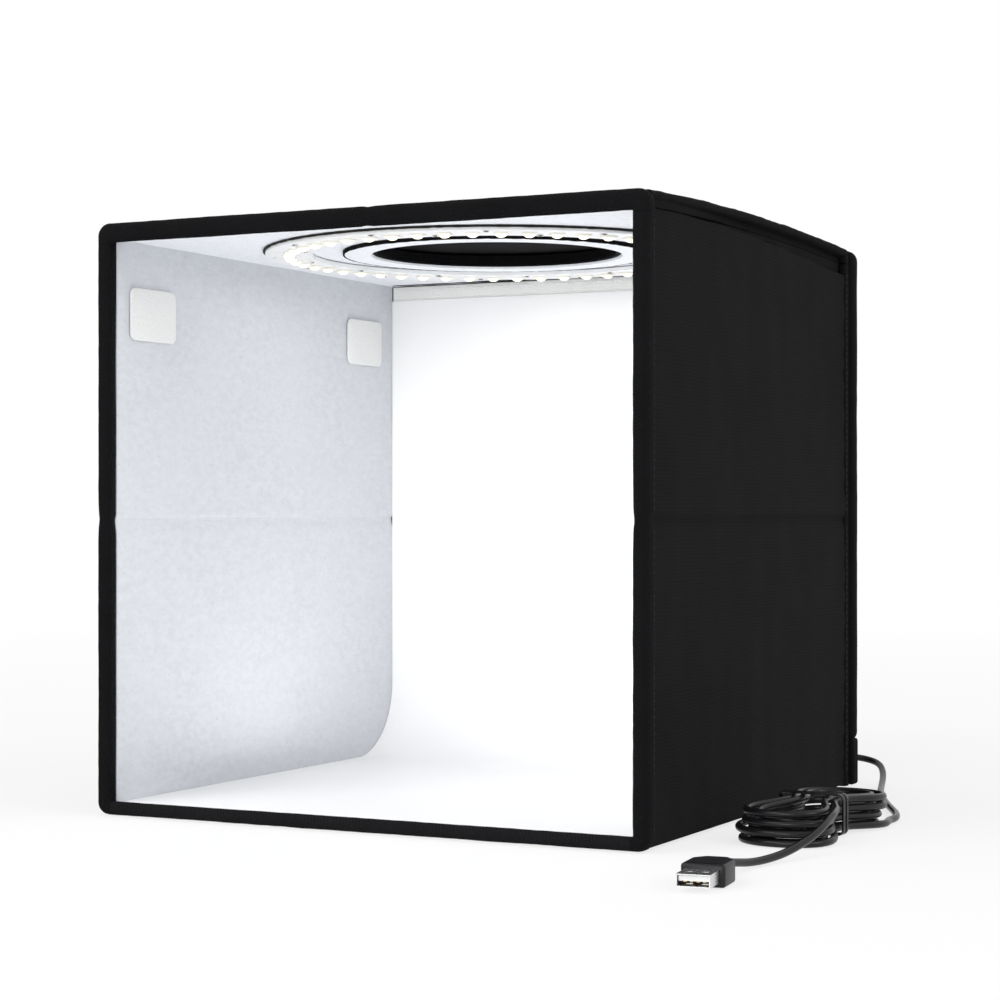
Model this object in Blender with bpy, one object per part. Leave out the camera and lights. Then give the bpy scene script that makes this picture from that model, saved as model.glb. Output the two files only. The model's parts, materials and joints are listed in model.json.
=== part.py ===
"""Folding light tent cube with a ring light, modelled as its real sub-parts.

Metres, +Z up. The origin lies on the floor under the cube's centre, and the open front faces -Y.
The side walls fold inward at their mid-height creases while the roof comes down level.
"""

import math

import bmesh
import bpy
import numpy as np
from mathutils import Matrix, Vector

# The cube
WIDTH = 0.250
DEPTH = 0.250
HEIGHT = 0.250

# Clearances
GAP = 0.0003
FLOOR_CLEAR = 0.0001
OVERRUN = 0.0020

# Layers of each padded panel
COVER_THICK = 0.0008
BOARD_THICK = 0.0020
LINING_THICK = 0.0008
BOARD_INSET = 0.0015
BOARD_FOLD_INSET = 0.0075

# Rolled tapes round the panels' edges
TAPE_WIDTH = 0.0068
REAR_TAPE_WIDTH = 0.0055
TAPE_OUT = 0.0008
TAPE_IN = 0.0014
FLOOR_TAPE_IN = 0.0018
ROOF_TAPE_IN = 0.0003
TAPE_ROUND = 0.0022
TAPE_ROUND_STEPS = 2
SHARP_EDGE = math.radians(40)
SIDE_HEM_LIFT = 0.0027

# Backdrop sheet and the strip that holds its top edge
SHEET_THICK = 0.0006
SHEET_SIDE_CLEAR = 0.0015
SHEET_FRONT_CLEAR = 0.0010
SWEEP_RADIUS = 0.0360
SWEEP_STEPS = 12
STRIP_THICK = 0.0012
STRIP_HIGH = 0.0150
STRIP_SHOWS = 0.0065

# Hook-and-loop pads on the upper side walls
PAD_LONG = 0.0330
PAD_HIGH = 0.0225
PAD_THICK = 0.0012
PAD_CORNER = 0.0030
PAD_CORNER_STEPS = 4
PAD_FROM_FRONT = 0.0305
PAD_FROM_REAR = 0.0370
PAD_FROM_ROOF = 0.0310

# Shooting hole in the roof, its hem and its flap
HOLE_RADIUS = 0.0545
HEM_THICK = 0.0012
HEM_DROP = 0.0018
FLAP_SIDE = 0.1400
FLAP_THICK = 0.0008
FLAP_CORNER = 0.0080
PATCH_THICK = 0.0005
PATCH_LONG = 0.0600
PATCH_WIDE = 0.0090
PATCH_MARGIN = 0.0015
CIRCLE_STEPS = 64

# Ring light under the roof
RING_OUTER = 0.1040
RING_INNER = 0.0810
RING_EDGE = 0.0015
BACKING_THICK = 0.0007
RING_BOARD_THICK = 0.0008
LED_COUNT = 50
LED_SIDE = 0.0050
LED_THICK = 0.0006
LED_RADIUS = 0.0925
LED_STRIP_WIDE = 0.0070
LED_STRIP_THICK = 0.0002
LED_SHIFT_SHARE = 0.37
RING_LEAD_THICK = 0.0012
RING_LEAD_ANGLE = math.radians(42)
RING_LEAD_END_BACK = 0.0140
RING_LEAD_BEND_SHARE = 0.3
RING_LEAD_POINT_STEP = 3 * RING_LEAD_THICK

# Cable outlet at the floor's rear right corner
OUTLET_WIDE = 0.0120
OUTLET_FROM_SIDE = 0.0025
OUTLET_HIGH = 0.0176
OUTLET_ROUND = 0.0015
COLLAR_RADIUS = 0.0028
COLLAR_LONG = 0.0040
COLLAR_SIDES = 24
NOTCH_MARGIN = 0.0024
OUTLET_AXIS_HIGH = 0.0118
REAR_SETBACK = 0.0005

# Cable
CORD = 0.0030
CORD_POINT_STEP = 2.5 * CORD
CORD_ROUTE_STEP_SHARE = 0.1
LEAD_ROUTE = (
    (0.1178, 0.1364, 0.0116),
    (0.1213, 0.1398, 0.0111),
    (0.1260, 0.1411, 0.0103),
    (0.1308, 0.1398, 0.0092),
    (0.1343, 0.1362, 0.0078),
    (0.1373, 0.1300, 0.0058),
    (0.1400, 0.1215, 0.0038),
    (0.1428, 0.1110, 0.0024),
    (0.1462, 0.0990, 0.0017),
    (0.1503, 0.0860, 0.0016),
    (0.1553, 0.0720, 0.0016),
    (0.1608, 0.0580, 0.0016),
    (0.1668, 0.0440, 0.0016),
    (0.1729, 0.0305, 0.0016),
    (0.1783, 0.0180, 0.0016),
    (0.1817, 0.0065, 0.0016),
)
TAIL_ROUTE = (
    (0.1832, -0.0815, 0.0118),
    (0.1834, -0.0900, 0.0097),
    (0.1824, -0.0990, 0.0071),
    (0.1804, -0.1085, 0.0047),
    (0.1779, -0.1185, 0.0028),
    (0.1752, -0.1290, 0.0019),
    (0.1728, -0.1393, 0.0020),
    (0.1711, -0.1492, 0.0031),
)

# Hank of cable, tied at its waist
HANK_MIDDLE = (0.1635, -0.0440)
HANK_TURN = math.radians(-92)
HANK_HALF_LONG = 0.0455
HANK_HALF_WIDE = 0.0235
HANK_END_FULL_SHARE = 0.5
HANK_WAIST_SHARE = 0.55
HANK_WAIST_LENGTH_SHARE = 0.50
HANK_LAYERS = 4
HANK_TURNS_PER_LAYER = 1.81
HANK_POINTS_PER_TURN = 24
HANK_START = math.radians(40)
HANK_STEP = 0.0040
HANK_LAYER_STEP = 0.0036
HANK_CLIMB_TURNS = 0.5
LAYER_LENGTH_SHARES = (1.00, 0.98, 1.00, 0.97)
LAYER_WIDTH_SHARES = (1.00, 0.98, 1.02, 1.00)
TIE_THICK = 0.0008
TIE_WIDE = 0.0040
TIE_CORNER_STEPS = 5

# Plug on the cable's end, a standard USB type A
PLUG_START = (0.1706, -0.1600)
PLUG_TURN = math.radians(-83.3)
BOOT_LONG = 0.0085
BOOT_RADIUS = 0.0034
BOOT_TIP_RADIUS = 0.0025
BOOT_RINGS = 3
BOOT_GROOVE = 0.0006
BOOT_SIDES = 24
PLUG_LONG = 0.0200
PLUG_WIDE = 0.0158
PLUG_HIGH = 0.0080
PLUG_SHOULDER = 0.0050
PLUG_NECK_WIDE = 0.0080
PLUG_ROUND = 0.0010
SHELL_LONG = 0.0120
SHELL_WIDE = 0.0120
SHELL_HIGH = 0.0045
SHELL_WALL = 0.0004
WINDOW_SIDE = 0.0022
WINDOW_APART = 0.0055
WINDOW_FROM_TIP = 0.0058
TONGUE_THICK = 0.0018
TONGUE_SETBACK = 0.0012
CONTACT_COUNT = 4
CONTACT_WIDE = 0.0010
CONTACT_LONG = 0.0070
CONTACT_THICK = 0.0002
CONTACT_PITCH = 0.0023

# Places that follow from the sizes above
HALF_WIDE = WIDTH / 2
HALF_DEEP = DEPTH / 2
PANEL = COVER_THICK + BOARD_THICK + LINING_THICK + 2 * GAP
TAPE_THICK = TAPE_OUT + PANEL + TAPE_IN
FLOOR_TAPE_THICK = PANEL + FLOOR_TAPE_IN
ROOF_SINK = 2 * GAP + PATCH_THICK + FLAP_THICK
ROOF_TAPE_THICK = ROOF_SINK + PANEL + ROOF_TAPE_IN
BACK_TAPE_THICK = TAPE_OUT + PANEL + STRIP_THICK + 2 * GAP
FRONT = -HALF_DEEP
TUBE_REAR = HALF_DEEP - BACK_TAPE_THICK - GAP
SIDE_INNER = HALF_WIDE - TAPE_THICK
ROOF_UNDER = HEIGHT - ROOF_TAPE_THICK
ROOF_FACE = HEIGHT - ROOF_SINK
CEILING = ROOF_FACE - PANEL
FLOOR_PIVOT = FLOOR_TAPE_THICK + GAP / 2
ROOF_PIVOT = ROOF_UNDER - GAP / 2
CREASE = (FLOOR_PIVOT + ROOF_PIVOT) / 2
PANEL_DEEP = (FRONT + TAPE_WIDTH + GAP, TUBE_REAR - REAR_TAPE_WIDTH - GAP)
FRONT_TAPE_DEEP = (FRONT, FRONT + TAPE_WIDTH)
REAR_TAPE_DEEP = (TUBE_REAR - REAR_TAPE_WIDTH, TUBE_REAR)
BACK_LINING_FACE = HALF_DEEP - TAPE_OUT - PANEL
STRIP_FACE = BACK_LINING_FACE - GAP - STRIP_THICK
STRIP_TOP = HEIGHT - TAPE_WIDTH - 2 * GAP
SHEET_HALF_WIDE = SIDE_INNER - SHEET_SIDE_CLEAR
SHEET_REAR = STRIP_FACE - GAP
SHEET_UNDER = PANEL + GAP
OUTLET_MIDDLE = HALF_WIDE - OUTLET_FROM_SIDE - OUTLET_WIDE / 2
NOTCH_SIDE = OUTLET_MIDDLE - OUTLET_WIDE / 2 - NOTCH_MARGIN
NOTCH_TOP = OUTLET_HIGH + NOTCH_MARGIN
HEM_OUTER = HOLE_RADIUS + HEM_THICK
CORD_RADIUS = CORD / 2
PLUG_AXIS_HIGH = PLUG_HIGH / 2 + FLOOR_CLEAR

# Plain colours, with roughness and metallic value
BLACK_FABRIC = ((0.011, 0.011, 0.012, 1.0), 0.88, 0.0)
BLACK_TAPE = ((0.016, 0.016, 0.018, 1.0), 0.80, 0.0)
SILVER_LINING = ((0.74, 0.76, 0.80, 1.0), 0.42, 0.0)
BOARD_WHITE = ((0.70, 0.68, 0.62, 1.0), 0.70, 0.0)
SHEET_WHITE = ((0.86, 0.86, 0.86, 1.0), 0.50, 0.0)
STRIP_CREAM = ((0.80, 0.79, 0.74, 1.0), 0.85, 0.0)
PAD_WHITE = ((0.84, 0.85, 0.87, 1.0), 0.85, 0.0)
RING_WHITE = ((0.85, 0.85, 0.84, 1.0), 0.35, 0.0)
LED_WARM = ((0.90, 0.80, 0.52, 1.0), 0.30, 0.0)
BLACK_RUBBER = ((0.010, 0.010, 0.011, 1.0), 0.45, 0.0)
STEEL = ((0.72, 0.72, 0.74, 1.0), 0.22, 1.0)
GOLD = ((0.83, 0.63, 0.27, 1.0), 0.25, 1.0)
TONGUE_WHITE = ((0.80, 0.80, 0.80, 1.0), 0.40, 0.0)
LAYER_THICK = {"cover": COVER_THICK, "board": BOARD_THICK, "lining": LINING_THICK}
LAYER_LOOK = {"cover": BLACK_FABRIC, "board": BOARD_WHITE, "lining": SILVER_LINING}


def clear_scene():
    """Remove every object that the file opened with."""
    for thing in list(bpy.data.objects):
        bpy.data.objects.remove(thing, do_unlink=True)


def add_material(thing, look):
    """Give one object its own Principled material."""
    colour, roughness, metallic = look
    material = bpy.data.materials.new(thing.name)
    material.use_nodes = True
    shader = material.node_tree.nodes["Principled BSDF"]
    shader.inputs["Base Color"].default_value = colour
    shader.inputs["Roughness"].default_value = roughness
    shader.inputs["Metallic"].default_value = metallic
    thing.data.materials.append(material)


def add_pivot(name, place, owner=None):
    """An empty on a joint's axis, which carries the pieces that turn about it."""
    pivot = bpy.data.objects.new(name, None)
    pivot.empty_display_size = TAPE_THICK
    bpy.context.scene.collection.objects.link(pivot)
    pivot.parent = owner
    pivot.location = Vector(place) - pivot_place(owner)
    return pivot


def pivot_place(pivot):
    """Where a pivot stands in the world, summed up its chain of owners."""
    place = Vector((0, 0, 0))
    while pivot is not None:
        place += pivot.location
        pivot = pivot.parent
    return place


def place_object(name, data, place, look, owner):
    """Link one named object at a world place, carried by its body's pivot."""
    thing = bpy.data.objects.new(name, data)
    bpy.context.scene.collection.objects.link(thing)
    thing.parent = owner
    thing.location = Vector(place) - pivot_place(owner)
    add_material(thing, look)
    return thing


def add_mesh(name, shape, look, owner, place=(0, 0, 0), smooth=False):
    """Turn a finished bmesh into a named object."""
    bmesh.ops.recalc_face_normals(shape, faces=shape.faces[:])
    weights = shape.edges.layers.float.new("bevel_weight_edge")
    for edge in shape.edges:
        edge[weights] = float(edge.is_convex and edge.calc_face_angle() > SHARP_EDGE)
    mesh = bpy.data.meshes.new(name)
    shape.to_mesh(mesh)
    shape.free()
    if smooth:
        mesh.shade_smooth()
        mesh.set_sharp_from_angle(angle=SHARP_EDGE)
    return place_object(name, mesh, place, look, owner)


def middle(span):
    """Half way along a span."""
    return (span[0] + span[1]) / 2


def length(span):
    """How long a span is."""
    return span[1] - span[0]


def inset(span, amount):
    """A span drawn in by the same amount at both ends."""
    return (span[0] + amount, span[1] - amount)


def mirrored(span):
    """The same span on the other side of zero."""
    return (-span[1], -span[0])


def both_ways(half):
    """A span centred on zero."""
    return (-half, half)


def box_shape(x, y, z, shape=None):
    """A box that fills three spans, added to a bmesh."""
    shape = shape or bmesh.new()
    size = Matrix.Diagonal((length(x), length(y), length(z), 1.0))
    move = Matrix.Translation((middle(x), middle(y), middle(z)))
    bmesh.ops.create_cube(shape, size=1.0, matrix=move @ size)
    return shape


def add_box(name, x, y, z, look, owner, rounding=0.0):
    """A box whose origin is its own middle, with rounded edges where a rounding is given."""
    centre = Vector((middle(x), middle(y), middle(z)))
    halves = [both_ways(length(span) / 2) for span in (x, y, z)]
    thing = add_mesh(name, box_shape(*halves), look, owner, centre, smooth=rounding > 0)
    if rounding:
        round_edges(thing, rounding)
    return thing


def round_edges(thing, rounding, steps=TAPE_ROUND_STEPS):
    """A Bevel modifier on the outward sharp edges of one object."""
    bevel = thing.modifiers.new("round", "BEVEL")
    bevel.width = rounding
    bevel.segments = steps
    bevel.limit_method = "WEIGHT"


def prism_shape(outline, span, shape=None):
    """A closed prism over an outline in X and Y, between two heights."""
    shape = shape or bmesh.new()
    corners = [shape.verts.new((x, y, span[0])) for x, y in outline]
    base = shape.faces.new(corners)
    grown = bmesh.ops.extrude_face_region(shape, geom=[base])["geom"]
    tops = [part for part in grown if isinstance(part, bmesh.types.BMVert)]
    bmesh.ops.translate(shape, verts=tops, vec=(0, 0, length(span)))
    return shape


def frame_shape(outer, inner, span):
    """A closed prism between two outlines with as many corners each, open in the middle."""
    shape = bmesh.new()
    rings = []
    for outline in (outer, inner):
        corners = [shape.verts.new((x, y, span[0])) for x, y in outline]
        rings += [shape.edges.new((a, b)) for a, b in zip(corners, corners[1:] + corners[:1])]
    faces = bmesh.ops.bridge_loops(shape, edges=rings)["faces"]
    grown = bmesh.ops.extrude_face_region(shape, geom=faces)["geom"]
    tops = [part for part in grown if isinstance(part, bmesh.types.BMVert)]
    bmesh.ops.translate(shape, verts=tops, vec=(0, 0, length(span)))
    return shape


def circle_outline(radius, steps=CIRCLE_STEPS):
    """Points round a circle about zero."""
    turns = [math.tau * i / steps for i in range(steps)]
    return [(radius * math.cos(turn), radius * math.sin(turn)) for turn in turns]


def rounded_outline(half_long, half_wide, corner, steps):
    """Points round a rectangle with round corners about zero."""
    points = []
    quarters = ((1, 1), (-1, 1), (-1, -1), (1, -1))
    for quarter, (along, across) in enumerate(quarters):
        for i in range(steps + 1):
            turn = math.pi / 2 * (quarter + i / steps)
            x = along * (half_long - corner) + corner * math.cos(turn)
            y = across * (half_wide - corner) + corner * math.sin(turn)
            points.append((x, y))
    return points


def layers(outer, inward):
    """Spans of cover, board and lining along a panel's normal, from its outer face inward."""
    spans = {}
    at = outer
    for layer, thick in LAYER_THICK.items():
        spans[layer] = tuple(sorted((at, at + inward * thick)))
        at += inward * (thick + GAP)
    return spans


def add_panel(body, axis, outer, inward, others, owner, board_insets):
    """Cover, board and lining of a flat panel; others are its spans along the two other axes.

    The board stops well short of the panel's fold lines, where the cloth has to bend.
    """
    pieces = {}
    for layer, thick in layers(outer, inward).items():
        spans = list(others)
        if layer == "board":
            spans = [inset(span, amount) for span, amount in zip(others, board_insets)]
        spans.insert(axis, thick)
        pieces[layer] = add_box(f"{body}_{layer}", *spans, LAYER_LOOK[layer], owner)
    return pieces


def build_floor():
    """The bottom panel between the side walls, with its front and rear tapes."""
    panel_half = HALF_WIDE - TAPE_OUT - PANEL - GAP
    insets = (BOARD_FOLD_INSET, BOARD_INSET)
    add_panel("bottom", 2, 0.0, 1, (both_ways(panel_half), PANEL_DEEP), None, insets)
    across = both_ways(SIDE_INNER - GAP)
    high = (0.0, FLOOR_TAPE_THICK)
    add_box("bottom_front_tape", across, FRONT_TAPE_DEEP, high, BLACK_TAPE, None, TAPE_ROUND)
    add_box("bottom_rear_tape", across, REAR_TAPE_DEEP, high, BLACK_TAPE, None, TAPE_ROUND)


def build_half_wall(body, side, high, panel_high, owner):
    """Half of a side wall: its three layers and the tapes on its front and rear edges."""
    outer = side * (HALF_WIDE - TAPE_OUT)
    insets = (BOARD_INSET, BOARD_FOLD_INSET)
    add_panel(body, 0, outer, -side, (PANEL_DEEP, panel_high), owner, insets)
    across = (SIDE_INNER, HALF_WIDE)
    if side < 0:
        across = mirrored(across)
    for end, deep in (("front", FRONT_TAPE_DEEP), ("rear", REAR_TAPE_DEEP)):
        add_box(f"{body}_{end}_tape", across, deep, high, BLACK_TAPE, owner, TAPE_ROUND)


def build_pads(name, side, owner):
    """The two hook-and-loop pads on one upper side wall's lining."""
    outline = rounded_outline(PAD_LONG / 2, PAD_HIGH / 2, PAD_CORNER, PAD_CORNER_STEPS)
    inner = HALF_WIDE - TAPE_OUT - PANEL - GAP
    stand = Matrix(((0, 0, side, 0), (1, 0, 0, 0), (0, 1, 0, 0), (0, 0, 0, 1)))
    places = {"front": FRONT + PAD_FROM_FRONT, "rear": HALF_DEEP - PAD_FROM_REAR}
    for end, deep in places.items():
        shape = prism_shape(outline, both_ways(PAD_THICK / 2))
        bmesh.ops.transform(shape, matrix=stand, verts=shape.verts[:])
        place = (side * (inner - PAD_THICK / 2), deep, CEILING - PAD_FROM_ROOF)
        add_mesh(f"{name}_{end}_pad", shape, PAD_WHITE, owner, place)


def build_side(name, side, floor_pivot, roof_pivot=None):
    """One side wall in two halves with its crease; returns the upper half's pivot."""
    lower = (GAP, CREASE - GAP / 2)
    upper = (CREASE + GAP / 2, ROOF_UNDER - GAP)
    build_half_wall(f"{name}_lower", side, lower, (SIDE_HEM_LIFT, lower[1]), floor_pivot)
    crease_pivot = add_pivot(f"{name}_crease", (side * HALF_WIDE, 0, CREASE), floor_pivot)
    build_half_wall(f"{name}_upper", side, upper, upper, crease_pivot)
    build_pads(name, side, crease_pivot)
    return crease_pivot


def as_tool(thing):
    """Keep an object out of the render, as a cutter or a shape to be joined on."""
    thing.hide_render = True
    thing.display_type = "WIRE"
    return thing


def combine(thing, tool, operation):
    """Cut a tool's shape out of an object, or join it on."""
    boolean = thing.modifiers.new(operation.lower(), "BOOLEAN")
    boolean.operation = operation
    boolean.solver = "EXACT"
    boolean.object = tool


def build_roof(owner):
    """The roof panel with its four edge tapes and the hem of its shooting hole."""
    across = both_ways(SIDE_INNER - GAP)
    insets = (BOARD_FOLD_INSET, BOARD_INSET)
    pieces = add_panel("top", 2, ROOF_FACE, -1, (across, PANEL_DEEP), owner, insets)
    hole = prism_shape(circle_outline(HEM_OUTER + GAP), (CEILING - OVERRUN, ROOF_FACE + OVERRUN))
    cutter = as_tool(add_mesh("shooting_hole_cutter", hole, BLACK_FABRIC, owner))
    for piece in pieces.values():
        combine(piece, cutter, "DIFFERENCE")
    high = (ROOF_UNDER, HEIGHT)
    whole = both_ways(HALF_WIDE)
    roll = (SIDE_INNER, HALF_WIDE)
    add_box("top_front_tape", whole, FRONT_TAPE_DEEP, high, BLACK_TAPE, owner, TAPE_ROUND)
    add_box("top_rear_tape", whole, REAR_TAPE_DEEP, high, BLACK_TAPE, owner, TAPE_ROUND)
    add_box("top_right_roll", roll, PANEL_DEEP, high, BLACK_TAPE, owner, TAPE_ROUND)
    add_box("top_left_roll", mirrored(roll), PANEL_DEEP, high, BLACK_TAPE, owner, TAPE_ROUND)
    rings = circle_outline(HEM_OUTER), circle_outline(HOLE_RADIUS)
    hem = frame_shape(*rings, (CEILING - HEM_DROP, ROOF_FACE))
    add_mesh("hole_hem", hem, BLACK_TAPE, owner, smooth=True)
    patch_right = FLAP_SIDE / 2 - PATCH_MARGIN
    patch_across = (patch_right - PATCH_WIDE, patch_right)
    patch_high = (ROOF_FACE + GAP, ROOF_FACE + GAP + PATCH_THICK)
    patch_deep = both_ways(PATCH_LONG / 2)
    add_box("flap_patch", patch_across, patch_deep, patch_high, BLACK_TAPE, owner)


def build_ring(owner):
    """The ring light: dark backing, white board, a strip of LED chips and its lead."""
    backing = (CEILING - GAP - BACKING_THICK, CEILING - GAP)
    board = (backing[0] - GAP - RING_BOARD_THICK, backing[0] - GAP)
    inner, outer = RING_INNER, RING_OUTER
    ring = frame_shape(circle_outline(outer), circle_outline(inner), backing)
    add_mesh("ring_backing", ring, BLACK_RUBBER, owner, smooth=True)
    edges = circle_outline(outer - RING_EDGE), circle_outline(inner + RING_EDGE)
    ring = frame_shape(*edges, board)
    add_mesh("ring_board", ring, RING_WHITE, owner, smooth=True)
    strip = (board[0] - GAP - LED_STRIP_THICK, board[0] - GAP)
    half_strip = LED_STRIP_WIDE / 2
    edges = circle_outline(LED_RADIUS + half_strip), circle_outline(LED_RADIUS - half_strip)
    leds = add_mesh("leds", frame_shape(*edges, strip), LED_WARM, owner)
    chips = bmesh.new()
    chip = (strip[0] - LED_THICK, middle(strip))
    for i in range(LED_COUNT):
        turn = Matrix.Rotation(math.tau * (i + LED_SHIFT_SHARE) / LED_COUNT, 4, "Z")
        before = len(chips.verts)
        along = (LED_RADIUS - LED_SIDE / 2, LED_RADIUS + LED_SIDE / 2)
        box_shape(along, both_ways(LED_SIDE / 2), chip, chips)
        chips.verts.ensure_lookup_table()
        bmesh.ops.transform(chips, matrix=turn, verts=chips.verts[before:])
    combine(leds, as_tool(add_mesh("led_chips_tool", chips, LED_WARM, owner)), "UNION")
    build_ring_lead(owner)


def build_ring_lead(owner):
    """The thin lead that runs from the ring light to the roof's right edge."""
    high = CEILING - GAP - RING_LEAD_THICK / 2
    start = Vector((RING_OUTER + GAP, 0, high))
    start.rotate(Matrix.Rotation(RING_LEAD_ANGLE, 3, "Z"))
    end = Vector((SIDE_INNER - 2 * GAP, PANEL_DEEP[1] - RING_LEAD_END_BACK, high))
    outward = Vector((math.cos(RING_LEAD_ANGLE), math.sin(RING_LEAD_ANGLE), 0))
    reach = (end - start).length * RING_LEAD_BEND_SHARE
    straight = Vector((reach, 0, 0))
    stub = Vector((RING_LEAD_THICK, 0, 0))
    bends = [
        start,
        start + outward * RING_LEAD_THICK,
        start + outward * reach,
        end - straight,
        end - stub,
        end,
    ]
    add_tube("ring_lead", smooth_route(bends, RING_LEAD_POINT_STEP), RING_LEAD_THICK, owner, 1)


def build_flap(owner):
    """The black flap over the shooting hole, sewn along its left edge."""
    half = FLAP_SIDE / 2
    outline = rounded_outline(half, half, FLAP_CORNER, PAD_CORNER_STEPS)
    shape = prism_shape(outline, (HEIGHT - FLAP_THICK, HEIGHT))
    place = pivot_place(owner)
    bmesh.ops.translate(shape, verts=shape.verts[:], vec=-place)
    add_mesh("hole_flap", shape, BLACK_FABRIC, owner, place)


def notched_outline(margin):
    """The back wall's outline in X and Z, drawn in by a margin, less the cable's corner."""
    side = HALF_WIDE - margin
    notch_side = NOTCH_SIDE - margin
    notch_top = NOTCH_TOP + margin
    return [
        (-side, margin),
        (notch_side, margin),
        (notch_side, notch_top),
        (side, notch_top),
        (side, HEIGHT - margin),
        (-side, HEIGHT - margin),
    ]


def add_upright(name, shape, look, owner, rounding=0.0):
    """Stand a shape drawn in X and Z with its depths along Y, and make it an object."""
    swap = Matrix(((1, 0, 0, 0), (0, 0, 1, 0), (0, 1, 0, 0), (0, 0, 0, 1)))
    bmesh.ops.transform(shape, matrix=swap, verts=shape.verts[:])
    place = pivot_place(owner)
    bmesh.ops.translate(shape, verts=shape.verts[:], vec=-place)
    thing = add_mesh(name, shape, look, owner, place, smooth=rounding > 0)
    if rounding:
        round_edges(thing, rounding)
    return thing


def build_back(owner):
    """The back wall: three layers, one tape all round, and the strip for the backdrop's top."""
    drawn_in = TAPE_WIDTH + GAP
    for layer, deep in layers(HALF_DEEP - TAPE_OUT, -1).items():
        margin = drawn_in + (BOARD_INSET if layer == "board" else 0.0)
        shape = prism_shape(notched_outline(margin), deep)
        add_upright(f"back_{layer}", shape, LAYER_LOOK[layer], owner)
    tape_deep = (HALF_DEEP - BACK_TAPE_THICK, HALF_DEEP)
    shape = frame_shape(notched_outline(0.0), notched_outline(TAPE_WIDTH), tape_deep)
    add_upright("back_tape", shape, BLACK_TAPE, owner, TAPE_ROUND)
    strip_high = (STRIP_TOP - STRIP_HIGH, STRIP_TOP)
    strip_deep = (STRIP_FACE, STRIP_FACE + STRIP_THICK)
    across = both_ways(SHEET_HALF_WIDE)
    add_box("backdrop_strip", across, strip_deep, strip_high, STRIP_CREAM, owner)


def build_backdrop():
    """The white sheet: flat on the floor, a sweep, then up the back to the strip."""
    top = STRIP_TOP - STRIP_SHOWS
    front = FRONT + TAPE_WIDTH + SHEET_FRONT_CLEAR
    centre = (SHEET_REAR - SWEEP_RADIUS, SHEET_UNDER + SWEEP_RADIUS)
    profile = []
    for radius, order in ((SWEEP_RADIUS, 1), (SWEEP_RADIUS - SHEET_THICK, -1)):
        line = [(front, centre[1] - radius)]
        for i in range(SWEEP_STEPS + 1):
            turn = math.pi / 2 * i / SWEEP_STEPS
            line.append((centre[0] + radius * math.sin(turn), centre[1] - radius * math.cos(turn)))
        line.append((centre[0] + radius, top))
        profile += line[::order]
    shape = prism_shape(profile, both_ways(SHEET_HALF_WIDE))
    cycle = Matrix(((0, 0, 1, 0), (1, 0, 0, 0), (0, 1, 0, 0), (0, 0, 0, 1)))
    bmesh.ops.transform(shape, matrix=cycle, verts=shape.verts[:])
    add_mesh("backdrop_sheet", shape, SHEET_WHITE, None, smooth=True)


def smooth_route(points, spacing):
    """Points at an even spacing along a smooth curve through the given ones, with straight ends."""
    knots = [Vector(point) for point in points]
    fine = []
    for before, start, end, after in zip(knots, knots[1:], knots[2:], knots[3:]):
        pieces = round(1 / CORD_ROUTE_STEP_SHARE)
        for i in range(pieces):
            t = i / pieces
            bend = 2 * before - 5 * start + 4 * end - after
            twist = 3 * (start - end) + after - before
            fine.append(start + ((end - before) * t + bend * t * t + twist * t**3) / 2)
    fine.append(knots[-2])
    walked = [0.0]
    for here, there in zip(fine, fine[1:]):
        walked.append(walked[-1] + (there - here).length)
    count = max(2, round(walked[-1] / spacing))
    wanted = np.linspace(0.0, walked[-1], count + 1)
    table = np.array([tuple(point) for point in fine])
    columns = [np.interp(wanted, walked, table[:, axis]) for axis in range(3)]
    return [knots[0], *(Vector(point) for point in zip(*columns)), knots[-1]]


def add_tube(name, points, thick, owner, fineness):
    """A round tube along a list of points, as a curve with a bevel and closed ends."""
    curve = bpy.data.curves.new(name, "CURVE")
    curve.dimensions = "3D"
    curve.bevel_depth = thick / 2
    curve.bevel_resolution = fineness
    curve.use_fill_caps = True
    spline = curve.splines.new("POLY")
    spline.points.add(len(points) - 1)
    for knot, point in zip(spline.points, points):
        knot.co = (*point, 1.0)
    place = Vector((0, 0, 0)) if owner is None else pivot_place(owner)
    for knot in spline.points:
        knot.co = (*(knot.co.to_3d() - place), 1.0)
    return place_object(name, curve, place, BLACK_RUBBER, owner)


def build_outlet():
    """The rubber outlet that the cable leaves by, low in the rear right corner."""
    across = (OUTLET_MIDDLE - OUTLET_WIDE / 2, OUTLET_MIDDLE + OUTLET_WIDE / 2)
    deep = (TUBE_REAR + GAP, HALF_DEEP - REAR_SETBACK)
    block = box_shape(across, deep, (FLOOR_CLEAR, OUTLET_HIGH))
    outlet = add_mesh("cable_outlet", block, BLACK_RUBBER, None, smooth=True)
    round_edges(outlet, OUTLET_ROUND)
    shape = prism_shape(circle_outline(COLLAR_RADIUS, COLLAR_SIDES), (0.0, COLLAR_LONG + OVERRUN))
    lay = Matrix.Rotation(math.radians(-90), 4, "X")
    bmesh.ops.transform(shape, matrix=lay, verts=shape.verts[:])
    start = Vector((OUTLET_MIDDLE, HALF_DEEP - REAR_SETBACK - OVERRUN, OUTLET_AXIS_HIGH))
    collar = add_mesh("outlet_collar_tool", shape, BLACK_RUBBER, None, start, smooth=True)
    combine(outlet, as_tool(collar), "UNION")


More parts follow.
